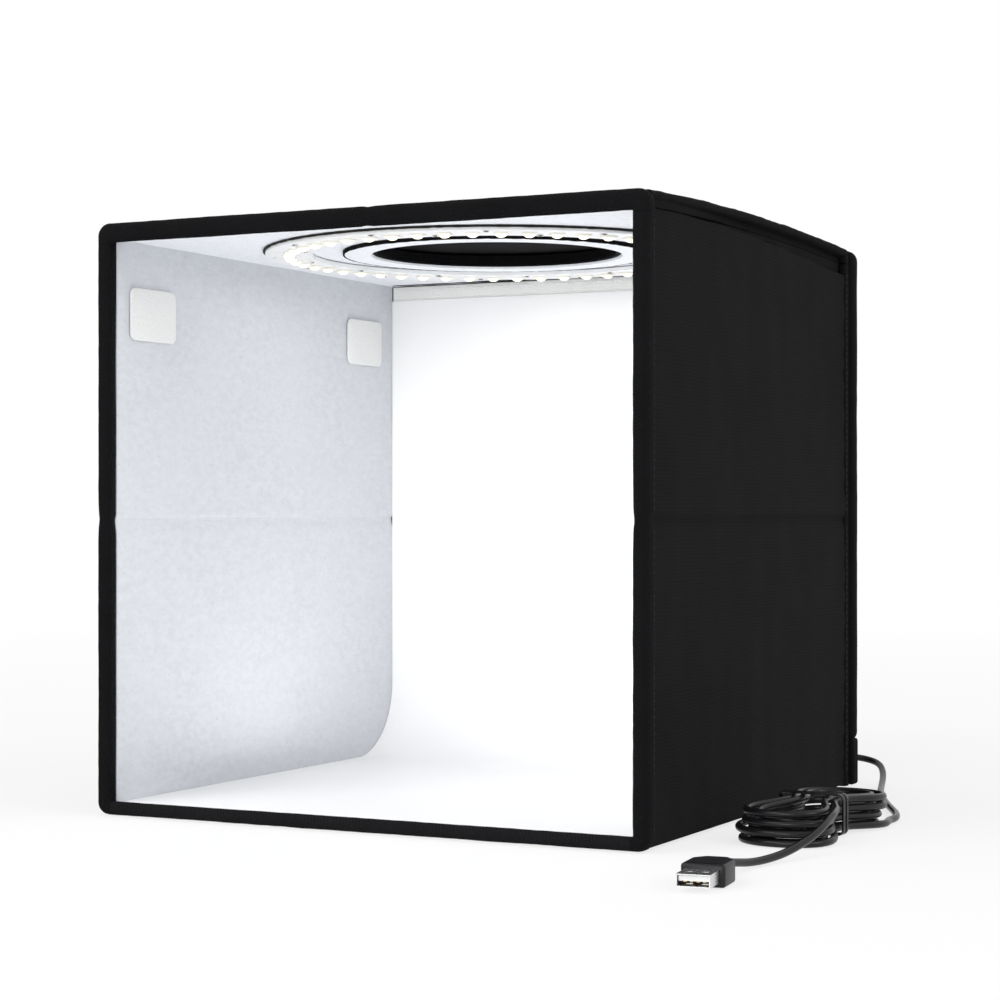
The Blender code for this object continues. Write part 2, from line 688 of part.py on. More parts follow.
def hank_points():
    """The middle line of the hank, worked out turn by turn, in world space.

    The turns spiral in and out again in layers, full at their ends and drawn in at the waist,
    and each climb to the next layer takes the half turn where the spiral reverses.
    """
    turns = HANK_LAYERS * HANK_TURNS_PER_LAYER
    count = round(turns * HANK_POINTS_PER_TURN)
    tie_lift = TIE_THICK + 2 * GAP
    waist_long = HANK_WAIST_LENGTH_SHARE * HANK_HALF_LONG
    numbers = np.arange(HANK_LAYERS)
    points = []
    for i in range(count + 1):
        turn = turns * i / count
        angle = HANK_START + math.tau * turn
        layer = 0.0
        for reversal in range(1, HANK_LAYERS):
            late = turn - reversal * HANK_TURNS_PER_LAYER + HANK_CLIMB_TURNS / 2
            layer += smooth_step(late / HANK_CLIMB_TURNS)
        phase = (turn / HANK_TURNS_PER_LAYER) % 2
        inward = HANK_STEP * HANK_TURNS_PER_LAYER * min(phase, 2 - phase)
        half_long = HANK_HALF_LONG * np.interp(layer, numbers, LAYER_LENGTH_SHARES) - inward
        half_wide = HANK_HALF_WIDE * np.interp(layer, numbers, LAYER_WIDTH_SHARES)
        along = -half_long * math.cos(angle)
        at_waist = math.exp(-((along / waist_long) ** 2))
        half_wide = half_wide * (1 - HANK_WAIST_SHARE * at_waist) - inward
        full = 1 + HANK_END_FULL_SHARE * math.cos(angle) ** 2
        high = CORD_RADIUS + FLOOR_CLEAR + tie_lift * at_waist + HANK_LAYER_STEP * layer
        points.append((along, half_wide * full * math.sin(angle), high))
    ends = [np.array(point) for point in (points[0], points[1], points[-2], points[-1])]
    first = ends[0] - CORD * unit(ends[1] - ends[0])
    last = ends[3] + CORD * unit(ends[3] - ends[2])
    points = [tuple(first), *points, tuple(last)]
    turned = Matrix.Rotation(HANK_TURN, 4, "Z")
    move = Matrix.Translation((*HANK_MIDDLE, 0))
    return [move @ turned @ Vector(point) for point in points]


def unit(vector):
    """A vector at length one."""
    return vector / np.linalg.norm(vector)


def smooth_step(share):
    """An eased rise from nought to one."""
    share = min(1.0, max(0.0, share))
    return share * share * (3 - 2 * share)


def print_least_gap(points):
    """Print the least clear gap between one turn of the hank and another."""
    line = np.array([tuple(point) for point in points])
    steps = np.linalg.norm(np.diff(line, axis=0), axis=1)
    walked = np.concatenate([[0.0], np.cumsum(steps)])
    fine_at = np.arange(0.0, walked[-1], CORD / 4)
    fine = np.stack([np.interp(fine_at, walked, line[:, axis]) for axis in range(3)], axis=1)
    least = math.inf
    for i in range(0, len(fine), 2):
        apart = np.linalg.norm(fine - fine[i], axis=1)
        far = np.abs(fine_at - fine_at[i]) > 4 * CORD
        least = min(least, apart[far].min())
    print(f"hank: {walked[-1]:.3f} m of cable, least gap to itself {(least - CORD) * 1000:.2f} mm")


def build_cable():
    """The cable from its outlet to the plug: lead, tied hank and tail."""
    hank = hank_points()
    print_least_gap(hank)
    add_tube("cord_hank", hank, CORD, None, 1)
    collar_end = HALF_DEEP - REAR_SETBACK + COLLAR_LONG + GAP
    start = Vector((OUTLET_MIDDLE, collar_end, OUTLET_AXIS_HIGH))
    forward = (hank[1] - hank[0]).normalized()
    lead_end = hank[0] - forward * GAP
    straight = Vector((0, CORD, 0))
    lead = [start, start + straight, *LEAD_ROUTE, lead_end - forward * CORD, lead_end]
    add_tube("cord_lead", smooth_route(lead, CORD_POINT_STEP), CORD, None, 2)
    onward = (hank[-1] - hank[-2]).normalized()
    tail_start = hank[-1] + onward * GAP
    tail_end = plug_point(-GAP)
    tail = [tail_start, tail_start + onward * CORD, *TAIL_ROUTE, plug_point(-GAP - CORD), tail_end]
    add_tube("cord_tail", smooth_route(tail, CORD_POINT_STEP), CORD, None, 2)
    build_tie(hank)


def build_tie(hank):
    """The twist tie round the hank's waist, a flat band with round corners."""
    middle_point = Vector((*HANK_MIDDLE, 0))
    back = Matrix.Rotation(-HANK_TURN, 3, "Z")
    local = [back @ (point - middle_point) for point in hank]
    near = []
    for here, there in zip(local, local[1:]):
        for plane in (-TIE_WIDE / 2, TIE_WIDE / 2):
            if (here.x - plane) * (there.x - plane) < 0:
                near.append(here.lerp(there, (plane - here.x) / (there.x - here.x)))
    room = CORD_RADIUS + 2 * GAP
    low = FLOOR_CLEAR + TIE_THICK
    high = max(point.z for point in near) + room
    left = min(point.y for point in near) - room
    right = max(point.y for point in near) + room
    corner = CORD_RADIUS
    half_wide, half_high = (right - left) / 2, (high - low) / 2
    inner = rounded_outline(half_wide, half_high, corner, TIE_CORNER_STEPS)
    outside = [size + TIE_THICK for size in (half_wide, half_high, corner)]
    outer = rounded_outline(*outside, TIE_CORNER_STEPS)
    shape = frame_shape(outer, inner, both_ways(TIE_WIDE / 2))
    stand = Matrix(((0, 0, 1, 0), (1, 0, 0, 0), (0, 1, 0, 0), (0, 0, 0, 1)))
    centre = Matrix.Translation((0, (left + right) / 2, (low + high) / 2))
    turned = Matrix.Rotation(HANK_TURN, 4, "Z")
    bmesh.ops.transform(shape, matrix=turned @ centre @ stand, verts=shape.verts[:])
    add_mesh("hank_tie", shape, BLACK_RUBBER, None, middle_point, smooth=True)


def plug_point(along):
    """A point on the plug's axis, measured from the rear of its boot towards its tip."""
    way = Vector((math.cos(PLUG_TURN), math.sin(PLUG_TURN), 0))
    return Vector((*PLUG_START, PLUG_AXIS_HIGH)) + way * along


def add_on_plug(name, shape, look, along, smooth=False):
    """Place a shape, drawn along X, on the plug's axis at a distance from the boot's rear."""
    thing = add_mesh(name, shape, look, None, plug_point(along), smooth)
    thing.rotation_euler = (0, 0, PLUG_TURN)
    return thing


def boot_shape():
    """A ringed boot, turned about X: its radius swells towards the plug, with grooves."""
    steps = 2 * BOOT_RINGS
    profile = []
    for i in range(steps + 1):
        share = i / steps
        swell = BOOT_TIP_RADIUS + (BOOT_RADIUS - BOOT_TIP_RADIUS) * share
        groove = BOOT_GROOVE if i % 2 else 0.0
        profile.append((BOOT_LONG * share, swell - groove))
    shape = bmesh.new()
    rings = []
    for along, radius in profile:
        around = circle_outline(radius, BOOT_SIDES)
        rings.append([shape.verts.new((along, y, z)) for y, z in around])
    for here, there in zip(rings, rings[1:]):
        for i in range(BOOT_SIDES):
            j = (i + 1) % BOOT_SIDES
            shape.faces.new((here[i], here[j], there[j], there[i]))
    shape.faces.new(rings[0])
    shape.faces.new(rings[-1])
    return shape


def build_plug():
    """The USB plug: boot, moulded body, steel shell, tongue and contacts."""
    add_on_plug("plug_boot", boot_shape(), BLACK_RUBBER, 0.0, smooth=True)
    body_at = BOOT_LONG + GAP
    half = PLUG_WIDE / 2
    neck = PLUG_NECK_WIDE / 2
    outline = [
        (0.0, -neck),
        (PLUG_SHOULDER, -half),
        (PLUG_LONG, -half),
        (PLUG_LONG, half),
        (PLUG_SHOULDER, half),
        (0.0, neck),
    ]
    shape = prism_shape(outline, both_ways(PLUG_HIGH / 2))
    body = add_on_plug("plug_body", shape, BLACK_RUBBER, body_at, smooth=True)
    round_edges(body, PLUG_ROUND)
    build_shell(body_at + PLUG_LONG + GAP)


def build_shell(start):
    """The steel shell with its square windows, and the tongue that carries the contacts."""
    halves = (SHELL_WIDE / 2, SHELL_HIGH / 2)
    corners = [(-1, -1), (1, -1), (1, 1), (-1, 1)]
    outer = [(a * halves[0], b * halves[1]) for a, b in corners]
    inner = [(a * (halves[0] - SHELL_WALL), b * (halves[1] - SHELL_WALL)) for a, b in corners]
    shape = frame_shape(outer, inner, (0.0, SHELL_LONG))
    cycle = Matrix(((0, 0, 1, 0), (1, 0, 0, 0), (0, 1, 0, 0), (0, 0, 0, 1)))
    bmesh.ops.transform(shape, matrix=cycle, verts=shape.verts[:])
    shell = add_on_plug("plug_shell", shape, STEEL, start)
    windows = bmesh.new()
    near = SHELL_LONG - WINDOW_FROM_TIP
    for side in (-1, 1):
        across = side * WINDOW_APART / 2
        box_shape(
            (near - WINDOW_SIDE / 2, near + WINDOW_SIDE / 2),
            (across - WINDOW_SIDE / 2, across + WINDOW_SIDE / 2),
            both_ways(SHELL_HIGH / 2 + OVERRUN),
            windows,
        )
    combine(shell, as_tool(add_on_plug("window_cutter", windows, STEEL, start)), "DIFFERENCE")
    inner_half = halves[0] - SHELL_WALL - GAP
    top = halves[1] - SHELL_WALL - GAP
    tongue_high = (top - TONGUE_THICK, top)
    tongue_long = (0.0, SHELL_LONG - TONGUE_SETBACK)
    tongue = box_shape(tongue_long, both_ways(inner_half), tongue_high)
    add_on_plug("plug_tongue", tongue, TONGUE_WHITE, start)
    high = (tongue_high[0] - GAP - CONTACT_THICK, tongue_high[0] - GAP)
    add_on_plug("plug_contacts", prism_shape(contact_comb(), high), GOLD, start)


def contact_comb():
    """The outline of the contacts, strips side by side on one cross piece at their root."""
    tip = SHELL_LONG - 2 * TONGUE_SETBACK
    root = tip - CONTACT_LONG
    edges = []
    for i in range(CONTACT_COUNT):
        across = (i - (CONTACT_COUNT - 1) / 2) * CONTACT_PITCH
        edges.append((across - CONTACT_WIDE / 2, across + CONTACT_WIDE / 2))
    outline = [(root - CONTACT_WIDE, edges[0][0])]
    for left, right in edges:
        outline += [(root, left), (tip, left), (tip, right), (root, right)]
    outline.append((root - CONTACT_WIDE, edges[-1][1]))
    return outline[:1] + outline[2:-2] + outline[-1:]


def build_tent():
    """The whole tent, body by body, each on the pivot that it turns about."""
    clear_scene()
    build_floor()
    build_backdrop()
    left = add_pivot("left_floor_pivot", (-SIDE_INNER, 0, FLOOR_PIVOT))
    right = add_pivot("right_floor_pivot", (SIDE_INNER, 0, FLOOR_PIVOT))
    left_upper = build_side("left", -1, left)
    build_side("right", 1, right)
    roof = add_pivot("roof_pivot", (-SIDE_INNER, 0, ROOF_PIVOT), left_upper)
    build_roof(roof)
    build_ring(roof)
    flap = add_pivot("flap_pivot", (-FLAP_SIDE / 2, 0, HEIGHT - FLAP_THICK), roof)
    build_flap(flap)
    back = add_pivot("back_pivot", (0, HALF_DEEP, 0))
    build_back(back)
    build_outlet()
    build_cable()
    build_plug()


build_tent()
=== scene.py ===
"""Looks of a folding light tent cube, built round its solid model.

Metres, +Z up, and the tent's open front faces -Y. Each sub-assembly is a class that holds its sizes,
builds its meshes with bmesh operators and dresses them in procedural finishes.
"""

import json
import logging
import math
from collections.abc import Callable, Sequence
from dataclasses import dataclass, replace
from enum import Enum

import bmesh
import bpy
import numpy as np
from mathutils import Matrix, Vector, noise

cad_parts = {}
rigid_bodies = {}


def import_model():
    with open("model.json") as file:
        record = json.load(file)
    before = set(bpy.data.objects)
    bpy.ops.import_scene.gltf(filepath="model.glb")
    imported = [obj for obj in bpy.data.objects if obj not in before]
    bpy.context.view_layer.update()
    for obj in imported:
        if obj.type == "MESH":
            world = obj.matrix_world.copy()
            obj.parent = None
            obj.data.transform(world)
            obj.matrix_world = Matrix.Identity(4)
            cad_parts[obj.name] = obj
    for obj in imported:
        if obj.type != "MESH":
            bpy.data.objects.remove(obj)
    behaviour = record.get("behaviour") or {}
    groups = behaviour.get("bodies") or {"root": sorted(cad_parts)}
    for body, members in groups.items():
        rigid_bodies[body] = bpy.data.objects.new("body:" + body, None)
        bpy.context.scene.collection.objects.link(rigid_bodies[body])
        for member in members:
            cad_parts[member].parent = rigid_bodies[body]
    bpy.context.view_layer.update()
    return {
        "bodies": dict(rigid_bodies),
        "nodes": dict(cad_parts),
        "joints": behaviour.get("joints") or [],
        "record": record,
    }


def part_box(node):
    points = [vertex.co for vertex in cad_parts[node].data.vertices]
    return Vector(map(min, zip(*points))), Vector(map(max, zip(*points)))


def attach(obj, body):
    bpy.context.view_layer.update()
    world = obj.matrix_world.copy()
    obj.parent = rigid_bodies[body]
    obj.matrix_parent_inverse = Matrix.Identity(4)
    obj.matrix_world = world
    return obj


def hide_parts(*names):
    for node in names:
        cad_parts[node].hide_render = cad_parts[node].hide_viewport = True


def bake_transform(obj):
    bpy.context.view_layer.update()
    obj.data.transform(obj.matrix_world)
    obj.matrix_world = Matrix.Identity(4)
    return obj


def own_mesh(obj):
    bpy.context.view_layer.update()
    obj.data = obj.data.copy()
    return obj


LOG = logging.getLogger("light_tent")

Triple = tuple[float, float, float]
Colour = Triple
Span = tuple[float, float]
Socket = bpy.types.NodeSocket
Value = Socket | float
Shape = bmesh.types.BMesh
Place = Callable[[float, float], Vector]


class Side(Enum):
    """The two side walls, with the sign of their X."""

    LEFT = -1
    RIGHT = 1

    @property
    def word(self) -> str:
        """The side's name in the names of its pieces."""
        return self.name.lower()


class Axis(Enum):
    """The three axes, by their place in a vector."""

    X = 0
    Y = 1
    Z = 2


@dataclass(frozen=True)
class Hinge:
    """The two bodies that a cloth piece crosses, and where its bend starts and ends."""

    first: str
    second: str
    start: Triple
    end: Triple


# Finishes


class Recipe:
    """The node tree of one finish, with short calls that add its nodes and join them."""

    def __init__(self, name: str, colour: Colour, roughness: float, gloss: float, metallic: float) -> None:
        """Start a material with plain values.

        Args:
            name: the material's name.
            colour: its linear base colour.
            roughness: its roughness.
            gloss: its specular level.
            metallic: its metallic value.
        """
        self.material = bpy.data.materials.new(name)
        self.material.use_nodes = True
        self.tree = self.material.node_tree
        self.shader = self.tree.nodes["Principled BSDF"]
        self.shader.inputs["Base Color"].default_value = (*colour, 1.0)
        self.shader.inputs["Roughness"].default_value = roughness
        self.shader.inputs["Specular IOR Level"].default_value = gloss
        self.shader.inputs["Metallic"].default_value = metallic
        self.place = self.add("ShaderNodeTexCoord").outputs["Object"]
        parts = self.add("ShaderNodeSeparateXYZ")
        self.tree.links.new(self.place, parts.inputs[0])
        self.axes = {axis: parts.outputs[axis.value] for axis in Axis}
        self.normal: Socket | None = None

    def add(self, kind: str, **settings: object) -> bpy.types.Node:
        """Add one node.

        Args:
            kind: the node's type.
            settings: the node's own properties.

        Returns:
            The new node.
        """
        node = self.tree.nodes.new(kind)
        for key, value in settings.items():
            setattr(node, key, value)
        return node

    def feed(self, socket: Socket, value: Value | Colour) -> None:
        """Give an input a link or a value.

        Args:
            socket: the input.
            value: an output to link, a number or a colour.
        """
        if isinstance(value, bpy.types.NodeSocket):
            self.tree.links.new(value, socket)
        elif isinstance(value, tuple):
            socket.default_value = (*value, 1.0)
        else:
            socket.default_value = value

    def calc(self, operation: str, *terms: Value) -> Socket:
        """One Math node.

        Args:
            operation: the node's operation.
            terms: its inputs in order.

        Returns:
            Its result.
        """
        node = self.add("ShaderNodeMath", operation=operation)
        for socket, term in zip(node.inputs, terms):
            self.feed(socket, term)
        return node.outputs[0]

    def wave(self, along: Value, pitch: float) -> Socket:
        """A sine from 0 to 1.

        Args:
            along: the length it runs along.
            pitch: the length of one wave.

        Returns:
            The wave's height.
        """
        swing = self.calc("SINE", self.calc("MULTIPLY", along, math.tau / pitch))
        return self.calc("MULTIPLY_ADD", swing, 0.5, 0.5)

    def grain(self, scale: float, detail: float = 2.0, stretch: Triple = (1.0, 1.0, 1.0)) -> Socket:
        """Noise in object space.

        Args:
            scale: features per metre.
            detail: its octaves.
            stretch: how much each axis is scaled first.

        Returns:
            The noise's value.
        """
        mapping = self.add("ShaderNodeMapping")
        mapping.inputs["Scale"].default_value = stretch
        self.feed(mapping.inputs["Vector"], self.place)
        node = self.add("ShaderNodeTexNoise")
        node.inputs["Scale"].default_value = scale
        node.inputs["Detail"].default_value = detail
        self.feed(node.inputs["Vector"], mapping.outputs[0])
        return node.outputs[0]

    def cells(self, scale: float) -> Socket:
        """Distance to the nearest point of a random set.

        Args:
            scale: cells per metre.

        Returns:
            The distance in cells.
        """
        node = self.add("ShaderNodeTexVoronoi")
        node.inputs["Scale"].default_value = scale
        self.feed(node.inputs["Vector"], self.place)
        return node.outputs["Distance"]

    def fit(self, value: Socket, span: Span, result: Span = (0.0, 1.0)) -> Socket:
        """Map one range onto another and clamp it.

        Args:
            value: what is mapped.
            span: the range that counts.
            result: what its ends become.

        Returns:
            The mapped value.
        """
        node = self.add("ShaderNodeMapRange")
        for name, number in zip(("From Min", "From Max", "To Min", "To Max"), (*span, *result)):
            node.inputs[name].default_value = number
        self.feed(node.inputs["Value"], value)
        return node.outputs[0]

    def mix(self, share: Value, first: Socket | Colour, second: Socket | Colour) -> Socket:
        """Blend two colours.

        Args:
            share: the second one's share.
            first: the first colour.
            second: the second colour.

        Returns:
            The blended colour.
        """
        node = self.add("ShaderNodeMix", data_type="RGBA")
        self.feed(node.inputs[0], share)
        self.feed(node.inputs[6], first)
        self.feed(node.inputs[7], second)
        return node.outputs[2]

    def paint(self, colour: Socket) -> None:
        """Set the base colour."""
        self.feed(self.shader.inputs["Base Color"], colour)

    def relief(self, height: Socket, depth: float) -> None:
        """Raise the surface by a height from 0 to 1.

        Args:
            height: the height's output.
            depth: the length that 1 stands for.
        """
        bump = self.add("ShaderNodeBump")
        bump.inputs["Distance"].default_value = depth
        self.feed(bump.inputs["Height"], height)
        if self.normal is not None:
            self.feed(bump.inputs["Normal"], self.normal)
        self.normal = bump.outputs[0]
        self.feed(self.shader.inputs["Normal"], self.normal)


def shade(colour: Colour, share: float) -> Colour:
    """A colour scaled by a share, kept below one."""
    return tuple(min(1.0, part * share) for part in colour)


@dataclass(frozen=True)
class Finish:
    """A finish with faint unevenness, and what finer ones build on."""

    name: str
    slot: str
    colour: Colour
    roughness: float
    gloss: float = 0.5
    metallic: float = 0.0

    def make(self) -> bpy.types.Material:
        """Build the material."""
        recipe = Recipe(self.name, self.colour, self.roughness, self.gloss, self.metallic)
        self.dress(recipe)
        return recipe.material

    def tones(self, recipe: Recipe, share: Value, low: float, high: float) -> Socket:
        """A blend from a darker to a lighter tone of the finish's colour."""
        return recipe.mix(share, shade(self.colour, low), shade(self.colour, high))

    def dress(self, recipe: Recipe) -> None:
        """Add this finish's own detail: a faint mottle and a fine moulded grain."""
        mottle = recipe.fit(recipe.grain(90.0, 3.0), (0.3, 0.7))
        recipe.paint(self.tones(recipe, mottle, 0.94, 1.05))
        recipe.relief(recipe.grain(2500.0, 1.0), 0.00002)


@dataclass(frozen=True)
class RibbedCloth(Finish):
    """Black oxford cloth with fine ribs that cross finer yarns."""

    ribs: Axis = Axis.Z
    yarns: Axis = Axis.Y
    rib_pitch: float = 0.00143
    yarn_pitch: float = 0.00105

    def dress(self, recipe: Recipe) -> None:
        """Ribs, yarns, a faint dusty unevenness, stray lighter fibres and a painted highlight on the raised
        ribs.
        """
        sway = recipe.fit(recipe.grain(60.0), (0.0, 1.0), (-0.0002, 0.0002))
        rib = recipe.wave(recipe.calc("ADD", recipe.axes[self.ribs], sway), self.rib_pitch)
        yarn = recipe.wave(recipe.axes[self.yarns], self.yarn_pitch)
        height = recipe.calc("MULTIPLY", rib, recipe.fit(yarn, (0.0, 1.0), (0.72, 1.0)))
        dust = self.tones(recipe, recipe.fit(recipe.grain(26.0, 4.0), (0.3, 0.7)), 0.85, 1.15)
        # Painted highlight: the raised ribs are painted lighter, up to 1.6 times the cloth's colour.
        painted_crest_highlight = recipe.mix(recipe.calc("MULTIPLY", height, 0.35), dust, shade(self.colour, 1.6))
        fibre = recipe.fit(recipe.grain(1400.0, 2.0), (0.68, 0.82), (0.0, 0.5))
        recipe.paint(recipe.mix(fibre, painted_crest_highlight, shade(self.colour, 3.2)))
        recipe.relief(height, 0.00012)
        recipe.relief(recipe.grain(2600.0, 2.0), 0.00004)


@dataclass(frozen=True)
class TwillTape(Finish):
    """Black binding tape woven in a herringbone, along one axis and round the roll."""

    along: Axis = Axis.X
    round_by: Triple = (0.0, -1.0, 1.0)
    twill_pitch: float = 0.0015
    herring_width: float = 0.0034

    def dress(self, recipe: Recipe) -> None:
        """Slanted wales that turn back at each row, a painted highlight on the raised wales, and fuzz on top.
        """
        turned: Value = 0.0
        for axis in Axis:
            turned = recipe.calc("MULTIPLY_ADD", recipe.axes[axis], self.round_by[axis.value], turned)
        zigzag = recipe.calc("PINGPONG", turned, self.herring_width)
        wale = recipe.wave(recipe.calc("ADD", recipe.axes[self.along], zigzag), self.twill_pitch)
        tone = self.tones(recipe, recipe.fit(recipe.grain(45.0, 4.0), (0.3, 0.7)), 0.8, 1.2)
        # Painted highlight: the raised wales are painted lighter, up to 2.4 times the tape's colour.
        painted_crest_highlight = recipe.mix(recipe.calc("MULTIPLY", wale, 0.45), tone, shade(self.colour, 2.4))
        fuzz = recipe.fit(recipe.grain(1500.0, 3.0), (0.60, 0.80), (0.0, 0.6))
        recipe.paint(recipe.mix(fuzz, painted_crest_highlight, shade(self.colour, 3.6)))
        recipe.relief(wale, 0.00014)
        recipe.relief(recipe.grain(2200.0, 3.0), 0.00007)


@dataclass(frozen=True)
class SilverLining(Finish):
    """Silver-white non-woven lining, embossed and speckled."""

    def dress(self, recipe: Recipe) -> None:
        """Soft flecks in two sizes, small dark pits and a crinkled emboss, drawn out along the depth."""
        drawn = (1.0, 0.5, 1.0)
        fleck = recipe.fit(recipe.grain(430.0, 4.0, drawn), (0.32, 0.68))
        base = self.tones(recipe, fleck, 0.93, 1.04)
        cloud = recipe.fit(recipe.grain(24.0, 2.0), (0.3, 0.7), (0.0, 0.5))
        clouded = recipe.mix(cloud, base, shade(self.colour, 1.03))
        pit = recipe.fit(recipe.grain(800.0, 2.0, drawn), (0.30, 0.38), (0.45, 0.0))
        recipe.paint(recipe.mix(pit, clouded, shade(self.colour, 0.80)))
        recipe.relief(recipe.cells(760.0), 0.00010)
        recipe.relief(recipe.grain(520.0, 3.0, drawn), 0.00012)


@dataclass(frozen=True)
class Film(Finish):
    """Matt white plastic sheet, almost smooth."""

    def dress(self, recipe: Recipe) -> None:
        """A very fine leather grain that shows only near by."""
        tone = recipe.fit(recipe.grain(14.0, 2.0), (0.3, 0.7))
        recipe.paint(self.tones(recipe, tone, 0.985, 1.0))
        recipe.relief(recipe.cells(1500.0), 0.00002)


@dataclass(frozen=True)
class LoopPile(Finish):
    """Fluffy loop side of a hook-and-loop fastener."""

    def dress(self, recipe: Recipe) -> None:
        """Curled fibres as tangled noise."""
        curl = recipe.grain(1300.0, 5.0)
        recipe.paint(self.tones(recipe, recipe.fit(curl, (0.35, 0.65)), 0.93, 1.03))
        recipe.relief(curl, 0.00018)


@dataclass(frozen=True)
class Webbing(Finish):
    """Plain woven strip with a visible grid of yarns."""

    first: Axis = Axis.X
    second: Axis = Axis.Z
    pitch: float = 0.0012

    def dress(self, recipe: Recipe) -> None:
        """Two crossed sets of yarns, with painted highlight where they stand out and painted shade between
        them.
        """
        weft = recipe.wave(recipe.axes[self.first], self.pitch)
        warp = recipe.wave(recipe.axes[self.second], self.pitch)
        height = recipe.calc("MAXIMUM", weft, warp)
        # Painted highlight and shade: raised yarns painted up to 1.02 of the colour, the hollows down to
        # 0.95.
        recipe.paint(self.tones(recipe, height, 0.95, 1.02))
        recipe.relief(height, 0.00010)


@dataclass(frozen=True)
class Glow(Finish):
    """Warm phosphor that shines."""

    strength: float = 1.0
    rim: Colour = (0.95, 0.72, 0.30)

    def dress(self, recipe: Recipe) -> None:
        """A bright face with a yellower grain."""
        grain = recipe.fit(recipe.grain(900.0, 1.0), (0.35, 0.65))
        recipe.paint(recipe.mix(grain, self.rim, self.colour))
        recipe.feed(recipe.shader.inputs["Emission Color"], self.colour)
        recipe.shader.inputs["Emission Strength"].default_value = self.strength


@dataclass(frozen=True)
class Brushed(Finish):
    """Plated metal with fine drawn lines."""

    def dress(self, recipe: Recipe) -> None:
        """Long scratches in the roughness and the surface."""
        lines = recipe.grain(900.0, 2.0, (6.0, 0.3, 6.0))
        rough = recipe.fit(lines, (0.2, 0.8), (self.roughness * 0.7, self.roughness * 1.5))
        recipe.feed(recipe.shader.inputs["Roughness"], rough)
        recipe.relief(lines, 0.000008)


BLACK_CLOTH: Colour = (0.0060, 0.0060, 0.0064)
BLACK_TWILL: Colour = (0.0036, 0.0036, 0.0041)
SIDE_CLOTH = RibbedCloth("side_cloth", "black_fabric", BLACK_CLOTH, 0.9, 0.07)
BACK_CLOTH = replace(SIDE_CLOTH, name="back_cloth", yarns=Axis.X)
ROOF_CLOTH = replace(SIDE_CLOTH, name="roof_cloth", ribs=Axis.Y, yarns=Axis.X)
ACROSS_TAPE = TwillTape("tape_across", "black_tape", BLACK_TWILL, 0.9, 0.07)
# Painted light: the floor roll gets a lighter copy of the same binding tape, standing in for the light it
# catches.
FLOOR_TAPE_PAINTED_LIT = replace(ACROSS_TAPE, name="tape_floor", colour=(0.0062, 0.0062, 0.0068))
RISING_TAPE = replace(ACROSS_TAPE, name="tape_rising", along=Axis.Z, round_by=(1.0, 1.0, 0.0))
BACK_TAPE = replace(RISING_TAPE, name="tape_back")
DEPTH_TAPE = replace(ACROSS_TAPE, name="tape_depth", along=Axis.Y, round_by=(1.0, 0.0, -1.0))
LINING = SilverLining("silver_lining", "silver_lining", (0.603, 0.618, 0.650), 0.5, 0.3)
# Painted light: the ceiling uses a brighter copy of the same lining, standing in for light that barely
# reaches it.
CEILING_PAINTED_LIGHT = replace(LINING, name="ceiling_silver", colour=(0.850, 0.868, 0.900))
SHEET_FILM = Film("backdrop_film", "white_sheet", (0.92, 0.92, 0.92), 0.5, 0.3)
PAD_PILE = LoopPile("pad_pile", "white_pad", (0.80, 0.80, 0.79), 0.9, 0.1)
CREAM_STRIP = Webbing("cream_webbing", "cream_strip", (0.955, 0.957, 0.935), 0.85, 0.1)
HOOK_PATCH = Webbing("hook_patch", "black_tape", (0.008, 0.008, 0.009), 0.6, 0.2, second=Axis.Y, pitch=0.0015)
CORE_BOARD = Finish("core_board", "stiff_board", (0.70, 0.68, 0.62), 0.8)
LACQUER = Finish("board_lacquer", "white_board", (0.86, 0.865, 0.87), 0.35)
DARK_FOAM = Finish("dark_foam", "black_rubber", (0.018, 0.017, 0.015), 0.8, 0.2)
RUBBER = Finish("cable_rubber", "black_rubber", (0.006, 0.006, 0.007), 0.32, 0.24)
MOULDING = Finish("plug_moulding", "black_rubber", (0.008, 0.008, 0.010), 0.40, 0.25)
TIE_VINYL = Finish("tie_vinyl", "black_rubber", (0.005, 0.005, 0.006), 0.3, 0.24)
BLACK_THREAD = Finish("black_thread", "black_tape", (0.013, 0.013, 0.014), 0.6, 0.2)
WHITE_THREAD = Finish("white_thread", "silver_lining", (0.60, 0.62, 0.66), 0.7)
LED_CASE = Glow("led_case", "led_chip", (0.92, 0.91, 0.86), 0.35, strength=0.11, rim=(0.90, 0.86, 0.72))
LED_GLOW = Glow("led_glow", "led_chip", (1.0, 0.95, 0.80), 0.3, strength=1.0)
RESISTOR = Finish("resistor_body", "black_rubber", (0.20, 0.18, 0.16), 0.4)
TIN = Brushed("tinned_end", "steel", (0.75, 0.75, 0.76), 0.3, 0.5, 1.0)
PLATED_STEEL = Brushed("plated_steel", "steel", (0.74, 0.74, 0.75), 0.24, 0.5, 1.0)
CONTACT_GOLD = Brushed("contact_gold", "gold", (0.83, 0.63, 0.27), 0.25, 0.5, 1.0)
TONGUE_PLASTIC = Finish("tongue_plastic", "white_plastic", (0.80, 0.80, 0.80), 0.4)
LEAD_VINYL = Finish("lead_vinyl", "black_rubber", (0.75, 0.76, 0.78), 0.4)


# Shared shapes


def ease(share: float) -> float:
    """A rise from nought to one, eased at both ends."""
    share = min(1.0, max(0.0, share))
    return share * share * (3.0 - 2.0 * share)


def between(span: Span, share: float) -> float:
    """A value part of the way along a span."""
    return span[0] + (span[1] - span[0]) * share


def verts_of(parts: Sequence[object]) -> list[bmesh.types.BMVert]:
    """The points among some parts of a bmesh."""
    return [part for part in parts if isinstance(part, bmesh.types.BMVert)]


def edges_of(parts: Sequence[object]) -> list[bmesh.types.BMEdge]:
    """The edges among some parts of a bmesh."""
    return [part for part in parts if isinstance(part, bmesh.types.BMEdge)]


